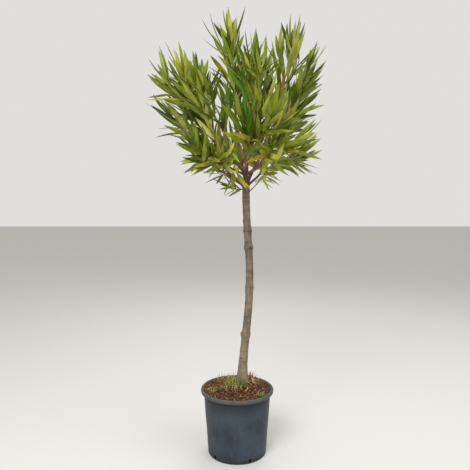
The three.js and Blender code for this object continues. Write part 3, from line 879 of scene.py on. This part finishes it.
bladePlan = {
    "rings": (0.0, 0.05, 0.13, 0.25, 0.40, 0.56, 0.72, 0.87), "petiole": 0.085, "sharpness": 1.6,
    "fold": 0.26, "thickness": 0.026, "midway": 0.52, "midFold": 0.42, "bend": 4.0,
}
ribPlan = {"width": 0.062, "above": 0.030, "below": 0.060, "narrowing": 0.8, "end": 0.96}
narrowLeaves = {"sprig_low": 0.70, "leaves_low_left": 0.86, "leaves_low_right": 0.90}  # shares of their width
leafTones = {  # dark, light, roughness, gloss
    # the deep tone is a real dark leaf tone used also as painted shade; the olive one is a real light tone
    # used also as painted light
    "deep": ((50, 68, 2), (86, 102, 6), 0.46, 0.24), "green": ((88, 104, 4), (128, 140, 24), 0.42, 0.36),
    "fresh": ((56, 96, 4), (88, 128, 16), 0.44, 0.32), "olive": ((118, 124, 22), (158, 162, 62), 0.46, 0.38),
    "yellow": ((104, 122, 12), (172, 166, 40), 0.5), "ochre": ((128, 108, 18), (164, 142, 40), 0.55),
}
ribTone = ((142, 152, 74), (172, 178, 104), 0.5)
toneSeed = 77


def fullness(share):
    # half the blade's width at a share of its length, as a share of its whole width
    widest, sharpness = leafPlan["widest"], bladePlan["sharpness"]
    low, high = widest * sharpness, (1 - widest) * sharpness
    return 0.5 * max((share / widest) ** low * ((1 - share) / (1 - widest)) ** high, bladePlan["petiole"])


def sectioned(name, sections, tip, sharpRuns=()):
    # rings of points joined along the leaf, closed at the root by a face and at the tip by a point
    size = len(sections[0])
    points = [point for section in sections for point in section] + [tip]
    last, end = (len(sections) - 1) * size, len(points) - 1
    faces = [tuple(range(size))]
    for start in range(0, last, size):
        faces += [(b, a, d, c) for a, b, c, d in band(start, size)]
    made = meshObject(name, points, faces + [(last + (k + 1) % size, last + k, end) for k in range(size)])
    store(made, "along", [point[1] for point in points])
    sharp = made.data.attributes.new("sharp_edge", "BOOLEAN", "EDGE")
    for edge in made.data.edges:
        runs = {corner % size for corner in edge.vertices if corner < end}
        sharp.data[edge.index].value = len(runs) == 1 and runs <= set(sharpRuns)
    return made


def bladeShape():
    fold, half, midway = bladePlan["fold"], bladePlan["thickness"] / 2, bladePlan["midway"]
    sections = []
    for share in bladePlan["rings"]:
        wide = fullness(share)
        edge, mid = wide * fold, wide * fold * bladePlan["midFold"]
        sections.append([
            (-wide, share, edge), (-wide * midway, share, mid + half), (0, share, half),
            (wide * midway, share, mid + half), (wide, share, edge), (0, share, -half),
        ])
    return sectioned("bladeShape", sections, (0, 1.0, 0.0), (0, 4))


def ribShape():
    sections = []
    for share in bladePlan["rings"]:
        size = 1 - ribPlan["narrowing"] * share
        half = ribPlan["width"] / 2 * size
        above, below = ribPlan["above"] * size, ribPlan["below"] * size
        sections.append([(-half, share, 0), (0, share, above), (half, share, 0), (0, share, -below)])
    return sectioned("ribShape", sections, (0, ribPlan["end"], 0.0))


def leafPoints(rows):
    mesh = bpy.data.meshes.new("leafPoints")
    mesh.from_pydata([tuple(leaf["root"]) for leaf in rows], [], [])
    stands = [Matrix((-leaf["side"], leaf["direction"], leaf["face"])) for leaf in rows]
    held = {
        "turn": [stand.transposed().to_euler() for stand in stands],
        "size": [(leaf["width"], leaf["length"], leaf["width"]) for leaf in rows],
        "lift": [leaf["face"] * leaf["arch"] * leaf["length"] for leaf in rows],
    }
    for label, vectors in held.items():
        mesh.attributes.new(label, "FLOAT_VECTOR", "POINT").data.foreach_set("vector", np.ravel(vectors))
    return link(bpy.data.objects.new("leafPoints", mesh))


def setOnPoints(rows, shape, finish, name):
    tree = Growth("leavesOnStems", finish, {"Leaf": shape, "Bend": bladePlan["bend"]})
    turn, size, lift = [tree.named(label, "FLOAT_VECTOR") for label in ("turn", "size", "lift")]
    real = tree.stood("Leaf", tree.given("Geometry"), turn, size)
    along = tree.named("along", "FLOAT")
    rise = tree.given("Bend") * along * (1 - along)
    offset = tree.node("ShaderNodeVectorMath", {"operation": "SCALE"}, {0: lift, "Scale": rise})
    bent = tree.node("GeometryNodeSetPosition", {}, {"Geometry": real, "Offset": offset})
    return tree.grow(bent, leafPoints(rows), name)


def shownLeaf(leaf):
    return {**leaf, "width": leaf["width"] * infillPlan["width"] * narrowLeaves.get(leaf["mass"], 1)}


def makeLeaves():
    blade, rib = bladeShape(), ribShape()
    draw = seededNumbers(toneSeed)
    dealt = {key: [] for key in leafTones}
    for leaf in leaves:
        dealt[toneOf(leaf, draw)].append(shownLeaf(leaf))
    pale = yellowing["masses"]
    stands = {"green": [name for name in massPlan if name not in pale], "yellow": pale}
    for key, rows in dealt.items():
        piece = setOnPoints(rows, blade, leafFinish("leaf" + key.title(), *leafTones[key]), "leaves_" + key)
        settle(piece, "pale_leaf" if key in ("yellow", "ochre") else "leaf", *stands.get(key, ()))
    rows = [leaf for row in dealt.values() for leaf in row]
    settle(setOnPoints(rows, rib, leafFinish("leafRib", *ribTone), "leaf_ribs"), "leaf")
    for shape in (blade, rib):
        bpy.data.objects.remove(shape)


makeLeaves()


# Stems and twigs: woody below and green toward their tips

slimness = 0.82  # shown thickness of boughs and of the stems' feet, against the source's
stemShape = {
    "tip": 0.0021, "shoot": 0.72, "twigRadii": (0.0022, 0.0013), "point": 0.012, "sunk": 0.006, "taper": 0.75,
    "greenFrom": (0.50, 0.30, 0.0), "sprigFrom": 0.85, "sides": 8,
}


def stemRadius(name, stem, share):
    if stem["order"] == 2:
        return mix(*stemShape["twigRadii"], share)
    scale, spot, taper = leafScales.get(name, 1), massPlan[name][0], stemShape["taper"]
    tip = stemShape["tip"] * scale
    foot = (boughPlan[spot][3][1] if isinstance(spot, str) else stemPlan["foot"] * scale) * slimness
    start = foot if stem["order"] == 0 else mix(foot, tip, stem["from"] ** taper) * stemShape["shoot"]
    return mix(start, tip, share ** taper)


def stemCurves(runs):
    data = bpy.data.curves.new("stemRuns", "CURVE")
    data.dimensions = "3D"
    for points, radii in runs:
        spline = data.splines.new("POLY")
        spline.points.add(len(points) - 1)
        spline.points.foreach_set("co", np.ravel([(*point, 1.0) for point in points]))
        spline.points.foreach_set("radius", radii)
    return link(bpy.data.objects.new("stemRuns", data))


def stemRun(name, stem, first, last):
    line = stem["line"]
    count = max(2, math.ceil(line.length * (last - first) / stemShape["point"]))
    shares = [mix(first, last, i / count) for i in range(count + 1)]
    points = [line.at(share) for share in shares]
    if first == 0 and stem["order"] == 0:
        points[0] = points[0] - line.heading(0) * stemShape["sunk"]
    return points, [stemRadius(name, stem, share) for share in shares]


def makeStems(green, finish, pieceName):
    runs = []
    for name in massPlan:
        for stem in stems[name] + twigs[name]:
            turn = stemShape["sprigFrom"] if name == "sprig_low" else stemShape["greenFrom"][stem["order"]]
            first, last = (turn, 1.0) if green else (0.0, turn)
            if last > first:
                runs.append(stemRun(name, stem, first, last))
    tree = Growth("roundStems", finish, {"Sides": stemShape["sides"], "Thickness": 1.0})
    ring = tree.node("GeometryNodeCurvePrimitiveCircle", {}, {
        "Resolution": tree.given("Sides"), "Radius": tree.given("Thickness")}, "Curve")
    tube = tree.node("GeometryNodeCurveToMesh", {}, {
        "Curve": tree.given("Geometry"), "Profile Curve": ring, "Fill Caps": True,
        "Scale": tree.node("GeometryNodeInputRadius", {}, {})})
    settle(tree.grow(tree.real(tube), stemCurves(runs), pieceName), "leaf" if green else "young_bark")


makeStems(False, stemFinish("woodyStem", (92, 58, 42), (134, 92, 62)), "stems_woody")
makeStems(True, stemFinish("greenStem", (96, 92, 40), (132, 122, 58)), "stems_green")


# Trunk and boughs: tubes run together into one skin, then given the bark's relief

woodPlan = {
    "trunkSides": 48, "boughSides": 24, "step": 0.004, "voxel": 0.0017, "smoothing": 6, "sunk": 0.014,
    "collar": 0.25, "collarLength": 0.012, "stubLength": 0.026, "stubShare": 0.2, "stubOver": 0.0010,
    "lumps": 0.0007, "lumpScales": (38, 38, 30), "furrows": 0.0005, "fineShare": 0.5, "boughRelief": 0.8,
    "furrowScales": ((190, 190, 34), (400, 400, 90)), "firstSide": (0.1, 1.0, 0.05),
}
ringPlan = {
    "height": 0.0004, "width": 0.0022, "spacing": (0.022, 0.052), "waver": 0.004, "waverScale": 30,
    "seed": 12, "above": 0.05, "toned": 0.7,
    "marked": (0.77, 0.935),  # the two that show most, as shares of the trunk's height
}
scars = (  # share of the trunk's height, turn in degrees, radius, rise
    (0.47, 190, 0.009, 0.003), (0.82, 200, 0.008, 0.0025), (0.690, 287, 0.010, 0.0035),
    (0.25, 170, 0.010, 0.004), (0.86, 95, 0.008, 0.003), (0.56, 40, 0.009, 0.003),
    (0.13, 240, 0.008, 0.003), (0.36, 110, 0.009, 0.003),
)
scarPlan = {"reach": 2.2, "swell": 1.4, "hollow": 0.75, "hollowed": 2.6, "toned": 1.8}


def tube(line, radiusAt, sides, last=1.0, sunk=0.0):
    count = max(3, math.ceil(line.length * last / woodPlan["step"]))
    points, side = [], unit(np.cross(line.heading(0), woodPlan["firstSide"]))
    for ring in range(count + 1):
        share = last * ring / count
        along = line.heading(share)
        side = unit(side - along * (side @ along))
        other = np.cross(along, side)
        centre = line.at(share) - (along * sunk if ring == 0 else 0)
        points += [centre + (side * math.cos(turn) + other * math.sin(turn)) * radiusAt(share)
                   for turn in turns(sides)]
    return points, tubeFaces(count + 1, sides)


def runTogether(name, tubes):
    points, faces = [], []
    for tubePoints, sides in tubes:
        faces += [tuple(corner + len(points) for corner in face) for face in sides]
        points += tubePoints
    made = meshObject(name, points, faces)
    skin = made.modifiers.new("skin", "REMESH")
    skin.mode = "VOXEL"
    skin.voxel_size = woodPlan["voxel"]
    skin.use_smooth_shade = True
    made.modifiers.new("soft", "SMOOTH").iterations = woodPlan["smoothing"]
    return baked(made, name)


def relief(piece, lift):
    # moves each point out along its normal by lift(point)
    mesh = piece.data
    points, normals = coordinates(mesh), np.empty(len(mesh.vertices) * 3)
    mesh.vertex_normals.foreach_get("vector", normals)
    moved = points + normals.reshape(-1, 3) * np.array([lift(point) for point in points])[:, None]
    mesh.vertices.foreach_set("co", moved.ravel())
    mesh.update()
    return piece


def furrowed(point):
    broad, fine = [rough(*(point * scales)) for scales in woodPlan["furrowScales"]]
    lumps = rough(*(point * woodPlan["lumpScales"])) * woodPlan["lumps"]
    return lumps + (broad + woodPlan["fineShare"] * fine) * woodPlan["furrows"]


def ringHeights():
    draw, height = seededNumbers(ringPlan["seed"]), trunkPlan["foot"][2] + ringPlan["above"]
    made = [limbs["trunk"][0].at(share)[2] for share in ringPlan["marked"] for _ in range(2)]
    while height < trunkPlan["fork"][2]:
        made.append(height)
        height += mix(*ringPlan["spacing"], draw())
    return np.array(made)


def trunkTubes():
    tubes = [tube(limbs["trunk"][0], trunkRadius, woodPlan["trunkSides"], sunk=woodPlan["sunk"])]
    over = woodPlan["stubOver"]
    for name in [name for name, row in boughPlan.items() if row[0] == "trunk"]:
        bough, radiusAt = limbs[name]
        last = min(1.0, woodPlan["stubLength"] / bough.length + woodPlan["stubShare"])
        tubes.append(tube(bough, lambda at: radiusAt(at) * slimness + mix(over, -over, at / last),
                          woodPlan["boughSides"], last))
    return tubes


def makeTrunk():
    piece, rings, line = runTogether("trunk_bark", trunkTubes()), ringHeights(), limbs["trunk"][0]
    spots = [(line.at(share) + around(math.radians(turn)) * trunkRadius(share), size, rise)
             for share, turn, size, rise in scars]

    def lift(point):
        off = rings - point[2] - ringPlan["waver"] * noise.noise(Vector(point) * ringPlan["waverScale"])
        out = furrowed(point) + np.exp(-(off / ringPlan["width"]) ** 2).sum() * ringPlan["height"]
        for centre, size, rise in spots:
            away = np.linalg.norm(point - centre) / size
            if away < scarPlan["reach"]:
                hollow = scarPlan["hollow"] * math.exp(-(away * scarPlan["hollowed"]) ** 2)
                out += rise * (math.exp(-away ** 2 * scarPlan["swell"]) - hollow)
        return out
    points = coordinates(piece.data)
    ringed = (points[:, 2:3] - rings) / (ringPlan["width"] * ringPlan["toned"])
    scarred = [np.linalg.norm(points - centre, axis=1) / size * scarPlan["toned"]
               for centre, size, _ in spots]
    store(piece, "ring", np.exp(-ringed ** 2).sum(1))
    store(piece, "scar", np.max([np.exp(-away ** 2) for away in scarred], axis=0))
    settle(withFinish(relief(piece, lift), trunkFinish()), "bark", "trunk")


def makeBoughs():
    tubes = []
    for name in boughPlan:
        line, radiusAt = limbs[name]
        collar, reach = woodPlan["collar"], woodPlan["collarLength"] / line.length
        tubes.append(tube(line, lambda at: radiusAt(at) * slimness * (1 + collar * math.exp(-at / reach)),
                          woodPlan["boughSides"]))
    piece = relief(runTogether("bough_bark", tubes), lambda point: furrowed(point) * woodPlan["boughRelief"])
    settle(withFinish(piece, boughFinish()), "young_bark", *boughPlan)


makeTrunk()
makeBoughs()


# The pot: thin moulded plastic with a rolled rim, a few soft dents and drain holes round its foot

potPlan = {
    "segments": 144, "base": 0.136, "shoulder": 0.1550, "wall": 0.003, "floor": 0.004, "sharpFrom": 40,
    "middles": (0.06, 0.07),  # radii of a ring under the floor and of one on it
    "footRound": ((0.006, 0.0), (0.0022, 0.0012), (0.0, 0.005)),  # in from the base's edge, and up
    "wallRings": 44, "wallHeights": (0.005, 0.2845), "innerRings": 20, "innerHeights": (0.2880, 0.008),
    "innerFoot": 0.007,
    "dent": 0.0011, "dentScale": 13.0, "dentAt": 0.14, "dentsBetween": (0.012, 0.275), "dentFade": 0.05,
}
holePlan = {
    "count": 5, "first": 25, "width": 0.0068, "height": 0.009, "level": 0.016, "between": (0.115, 0.150),
    "sides": 20,
}
rimProfile = [
    (0.1552, 0.2848), (0.1566, 0.2853), (0.1606, 0.2862), (0.1650, 0.2884), (0.1680, 0.2922),
    (0.1692, 0.2970), (0.1693, 0.3010), (0.1684, 0.3046), (0.1662, 0.3070), (0.1638, 0.3080),
    (0.1612, 0.3080), (0.1590, 0.3073), (0.1574, 0.3060), (0.1558, 0.3035), (0.1530, 0.2980),
]


def potProfile():
    base, shoulder, wall, floor = [potPlan[key] for key in ("base", "shoulder", "wall", "floor")]
    underRing, floorRing = potPlan["middles"]
    foot = [(0.0, 0.0), (underRing, 0.0)]
    foot += [(base - inset, height) for inset, height in potPlan["footRound"]]

    def slope(low, high, heights, count, first):
        return [(mix(low, high, i / count), mix(*heights, i / count)) for i in range(first, count + first)]
    outer = slope(base, shoulder, potPlan["wallHeights"], potPlan["wallRings"], 1)[:-1]
    inner = slope(shoulder - wall, base - wall, potPlan["innerHeights"], potPlan["innerRings"], 0)
    inner.append((base - wall, potPlan["innerHeights"][1]))
    inner += [(radius, floor) for radius in (base - potPlan["innerFoot"], floorRing, 0.0)]
    return foot + outer + rimProfile + inner


def lathed(name, profile, segments, push=None):
    # a closed body of revolution whose profile starts and ends on the axis
    points = [(0, 0, profile[0][1])]
    for radius, height in profile[1:-1]:
        for turn in turns(segments):
            out = radius + (push(turn, height) if push else 0)
            points.append((out * math.cos(turn), out * math.sin(turn), height))
    points.append((0, 0, profile[-1][1]))
    start, last = len(points) - 1 - segments, len(points) - 1
    faces = [(0, 1 + (k + 1) % segments, 1 + k) for k in range(segments)]
    for first in range(1, start, segments):
        faces += band(first, segments)
    faces += [(start + k, start + (k + 1) % segments, last) for k in range(segments)]
    return meshObject(name, points, faces)


def dented(turn, height):
    low, high = potPlan["dentsBetween"]
    inside = limited((height - low) / potPlan["dentFade"]) * limited((high - height) / potPlan["dentFade"])
    spot = Vector(around(turn) * potPlan["dentAt"] + (0, 0, height))
    return noise.noise(spot * potPlan["dentScale"]) * potPlan["dent"] * inside


def potFinish():
    finish = Finish("potPlastic", 0.22)
    broad, height = finish.cloud(9.0, 3.0), finish.height()
    scuffs = finish.between(finish.cloud(60.0, 5.0, 0.7, 0.5), 0.56, 0.74)
    rim = finish.between(height, 0.2860, 0.2950)
    dust = finish.between(finish.cloud(45.0, 4.0, 0.65), 0.30, 0.62)
    finish.ground(finish.between(broad, 0.34, 0.66), (41, 50, 57), (54, 63, 72))
    finish.layer(finish.cloud(70.0, 3.0, 0.6, 0.05), 0.48, 0.72, 0.2, (68, 78, 90))  # streaks down the wall
    finish.over(scuffs * 0.32, (88, 94, 98))
    finish.layer(height + finish.cloud(26.0) * 0.03, 0.050, 0.018, 0.70, (38, 40, 38))  # dirt round the foot, made darker still as a painted dark reflection
    finish.layer(height, 0.215, 0.284, 0.60, (24, 29, 33))  # shade under the rim
    finish.over(rim, (60, 65, 67))
    finish.over(rim * (0.06 + 0.26 * dust), (104, 100, 90))
    bumps = finish.cloud(700.0, 2.0) * 0.5 + scuffs * 0.3
    return finish.paint(0.44 + 0.12 * broad + 0.14 * scuffs + 0.16 * rim, bumps, 0.0003, 0.5)


def holeCutter(turn):
    # a round bar through the wall, at a turn from the pot's front
    points, outward, across = [], around(turn - fullTurn / 4), around(turn)
    for out in holePlan["between"]:
        for angle in turns(holePlan["sides"]):
            x, y, _ = outward * out + across * (math.cos(angle) * holePlan["width"])
            points.append((x, y, holePlan["level"] + math.sin(angle) * holePlan["height"]))
    return meshObject("drainHole", points, tubeFaces(2, holePlan["sides"]))


def makePot():
    pot = lathed("pot_wall", potProfile(), potPlan["segments"], dented)
    cutters = [holeCutter(math.radians(holePlan["first"]) + ahead) for ahead in turns(holePlan["count"])]
    for cutter in cutters:
        cut = pot.modifiers.new("drain", "BOOLEAN")
        cut.operation, cut.solver, cut.object = "DIFFERENCE", "EXACT", cutter
    piece = baked(pot, "pot_wall")
    for cutter in cutters:
        bpy.data.objects.remove(cutter)
    piece.data.set_sharp_from_angle(angle=math.radians(potPlan["sharpFrom"]))
    settle(withFinish(piece, potFinish()), "pot", "pot")


makePot()


# Compost: a crumbly mound with bark chips and crumbs

soilPlan = {
    "edge": 0.3045, "crown": 0.3265, "moundRadius": 0.135, "seatRadius": 0.042, "radius": 0.1546,
    "bottom": 0.0044, "bottomRadius": 0.1296, "bottomRound": (0.01, 0.006), "throat": (0.1474, 0.2876),
    "edgeHeight": 0.0022, "rings": 46, "segments": 150,
    "unevenness": ((0.0042, 42, 1.7), (0.0014, 210, 4.1)),  # of clods and grit: height, scale, layer
    "sunk": 0.0015, "flatEdge": 0.02, "stillRough": 0.3, "bareEdge": 0.005, "nearTop": 0.002,
}
chipPlan = {
    "levels": ((-0.09, 0.86), (0.02, 1.0), (0.10, 0.80)), "sides": 6, "seed": 5, "tilt": 0.45, "turn": 6.283,
    "reach": (0.5, 0.30), "breaks": ((0.8, 1.1), (0.75, 1.15)), "uneven": 0.05,
}
chipKinds = (  # piece, chips to the square metre, least and most length, seed, dark, light
    ("chips_red", 9000.0, 0.006, 0.015, 3, (76, 48, 27), (116, 80, 48)),
    ("chips_dark", 8000.0, 0.005, 0.013, 8, (26, 17, 11), (56, 38, 24)),
    ("chips_tan", 3400.0, 0.003, 0.012, 21, (108, 80, 50), (160, 128, 84)),
    ("crumbs", 20000.0, 0.0018, 0.0042, 34, (46, 31, 18), (88, 62, 38)),
)


def soilLevel(x, y):
    plan = soilPlan
    fromFoot = math.hypot(x - trunkPlan["foot"][0], y - trunkPlan["foot"][1])
    slope = limited((plan["moundRadius"] - fromFoot) / (plan["moundRadius"] - plan["seatRadius"]))
    level = mix(plan["edge"], plan["crown"], slope * slope * (3 - 2 * slope))
    lumps = sum(rough(x * scale, y * scale, layer) * height for height, scale, layer in plan["unevenness"])
    edge = limited((plan["radius"] - math.hypot(x, y)) / plan["flatEdge"])
    return level - plan["sunk"] + lumps * (plan["stillRough"] + (1 - plan["stillRough"]) * edge)


def soilShape():
    plan = soilPlan
    foot, low, edge, reach = plan["bottomRadius"], plan["bottom"], plan["edge"], plan["radius"]
    inset, up = plan["bottomRound"]
    profile = [(0.0, low), (foot - inset, low), (foot, low + up), plan["throat"]]
    profile.append((reach, edge - plan["edgeHeight"]))
    profile += [(reach * (1 - i / plan["rings"]), edge) for i in range(plan["rings"])]
    made = lathed("compost", profile + [(0.0, edge)], plan["segments"])
    top = []
    for vertex in made.data.vertices:
        isTop = vertex.co.z > edge - plan["nearTop"]
        if isTop:
            vertex.co.z = soilLevel(vertex.co.x, vertex.co.y)
        top.append(1.0 if isTop and vertex.co.xy.length < reach - plan["bareEdge"] else 0.0)
    store(made, "top", top)
    return made


def compostFinish():
    finish = Finish("compost", 0.15)
    fine = finish.cloud(330.0, 5.0, 0.7)
    finish.ground(finish.between(fine, 0.35, 0.65), (34, 23, 14), (74, 52, 31))
    finish.layer(finish.cloud(40.0, 4.0), 0.40, 0.66, 0.5, (84, 50, 26))
    finish.layer(finish.cloud(28.0, 3.0), 0.60, 0.72, 0.35, (86, 84, 34))  # green patches
    return finish.paint(0.9 + 0.08 * fine, fine, 0.0030, 1.0)


def chipFinish(name, dark, light):
    finish = Finish(name, 0.15)
    grain = finish.cloud(260.0, 4.0, 0.65)
    finish.ground(finish.between(grain, 0.34, 0.66), dark, light)
    return finish.paint(0.82 + 0.12 * grain, grain, 0.0008, 0.8)


def chipShape():
    # a flat, broken-edged flake one unit long
    draw, sides, uneven = seededNumbers(chipPlan["seed"]), chipPlan["sides"], chipPlan["uneven"]
    (long, wide), (longBreak, wideBreak) = chipPlan["reach"], chipPlan["breaks"]
    points = []
    for level, size in chipPlan["levels"]:
        for turn in turns(sides):
            x = long * math.cos(turn) * size * mix(*longBreak, draw())
            y = wide * math.sin(turn) * size * mix(*wideBreak, draw())
            points.append((x, y, level + uneven * (draw() - 0.5)))
    return meshObject("chipShape", points, tubeFaces(len(chipPlan["levels"]), sides), smooth=False)


def scatter(ground, shape, name, density, least, most, seed, dark, light):
    tree = Growth("chipsOnCompost", chipFinish(name, dark, light), {
        "Chip": shape, "Density": density, "Least Length": least, "Most Length": most,
        "Tilt": chipPlan["tilt"], "Turn": chipPlan["turn"], "Seed": seed,
    })
    top = tree.named("top", "FLOAT")
    isTop = tree.node("FunctionNodeCompare", {"operation": "GREATER_THAN"}, {0: top, 1: 0.5})
    points = tree.node("GeometryNodeDistributePointsOnFaces", {}, {
        "Mesh": tree.given("Geometry"), "Selection": isTop, "Density": tree.given("Density"),
        "Seed": tree.given("Seed")}, "Points")
    tilt = tree.given("Tilt")
    turn = tree.node("ShaderNodeCombineXYZ", {}, {
        0: tree.chance(0 - tilt, tilt, 1), 1: tree.chance(0 - tilt, tilt, 2),
        2: tree.chance(0.0, tree.given("Turn"), 3)})
    size = tree.chance(tree.given("Least Length"), tree.given("Most Length"), 4)
    copy = link(ground.copy())
    copy.data = ground.data.copy()
    settle(tree.grow(tree.stood("Chip", points, turn, size), copy, name), "soil")


def makeCompost():
    ground, shape = soilShape(), chipShape()
    for row in chipKinds:
        scatter(ground, shape, *row)
    bpy.data.objects.remove(shape)
    settle(tidied(withFinish(ground, compostFinish())), "soil", "soil")


makeCompost()


# What grows and lies on the compost: grass, weeds, a red leaf, straws and litter

tuftPlan = (  # piece, slot, x, y, spread, blades, length, width, least and most lean, dark, light
    ("grass_front", "leaf", -0.024, -0.008, 0.034, 96, 0.05, 0.0018, (4, 64), (104, 114, 42), (162, 166, 84)),
    ("grass_foot", "leaf", 0.014, -0.018, 0.026, 80, 0.040, 0.0017, (4, 60), (78, 94, 42), (128, 138, 74)),
    ("grass_dry", "pale_leaf", -0.014, -0.034, 0.05, 60, 0.034, 0.0015,
     (20, 84), (150, 138, 82), (204, 188, 134)),
    ("grass_back", "leaf", -0.060, 0.100, 0.046, 50, 0.032, 0.0016, (6, 70), (120, 116, 56), (164, 154, 92)),
    ("weed_left", "pale_leaf", -0.122, -0.03, 0.028, 54, 0.019, 0.0052,
     (8, 74), (106, 98, 30), (158, 138, 54)),
    ("weed_right", "leaf", 0.102, -0.082, 0.024, 34, 0.017, 0.0044, (8, 74), (88, 90, 42), (136, 128, 70)),
    ("leaf_red", "pale_leaf", 0.082, -0.104, 0.010, 7, 0.013, 0.0060, (30, 84), (108, 46, 30), (140, 66, 44)),
    ("straws", "soil", 0.062, 0.030, 0.038, 60, 0.060, 0.0020, (20, 82), (168, 136, 98), (214, 184, 146)),
    ("husks", "soil", 0.058, 0.040, 0.024, 44, 0.040, 0.0052, (10, 60), (84, 58, 32), (128, 92, 54)),
    ("fibres", "soil", 0.0, -0.020, 0.110, 150, 0.022, 0.0013, (74, 88), (150, 112, 66), (196, 158, 108)),
    ("dry_leaves", "soil", 0.036, -0.014, 0.070, 9, 0.034, 0.0110, (62, 88), (140, 104, 62), (190, 156, 110)),
)
tuftRule = {
    "lengths": (0.6, 1.25), "widths": (0.7, 1.2), "arches": (0.05, 0.18), "roll": 0.8, "sunk": 0.001,
    "roughness": 0.6, "seedStep": 13,
}


def tuftBlades(name, x, y, spread, blades, length, width, leans):
    draw = seededNumbers(len(name) * tuftRule["seedStep"] + blades)
    for _ in range(blades):
        turn, away = draw() * fullTurn, spread * math.sqrt(draw())
        rootX, rootY = x + away * math.cos(turn), y + away * math.sin(turn)
        lean, outward = math.radians(mix(*leans, draw())), around(draw() * fullTurn)
        root = np.array((rootX, rootY, soilLevel(rootX, rootY) - tuftRule["sunk"]))
        size, arch = length * mix(*tuftRule["lengths"], draw()), mix(*tuftRule["arches"], draw())
        roll, broad = tuftRule["roll"] * (draw() - 0.5), width * mix(*tuftRule["widths"], draw())
        yield leafShape(root, np.array((0.0, 0.0, 1.0)), outward, lean, size, arch, roll, width=broad)


def makeTufts():
    blade = bladeShape()
    for name, slot, *sizes, dark, light in tuftPlan:
        finish = leafFinish(name, dark, light, tuftRule["roughness"])
        settle(setOnPoints(list(tuftBlades(name, *sizes)), blade, finish, name), slot)
    bpy.data.objects.remove(blade)


makeTufts()
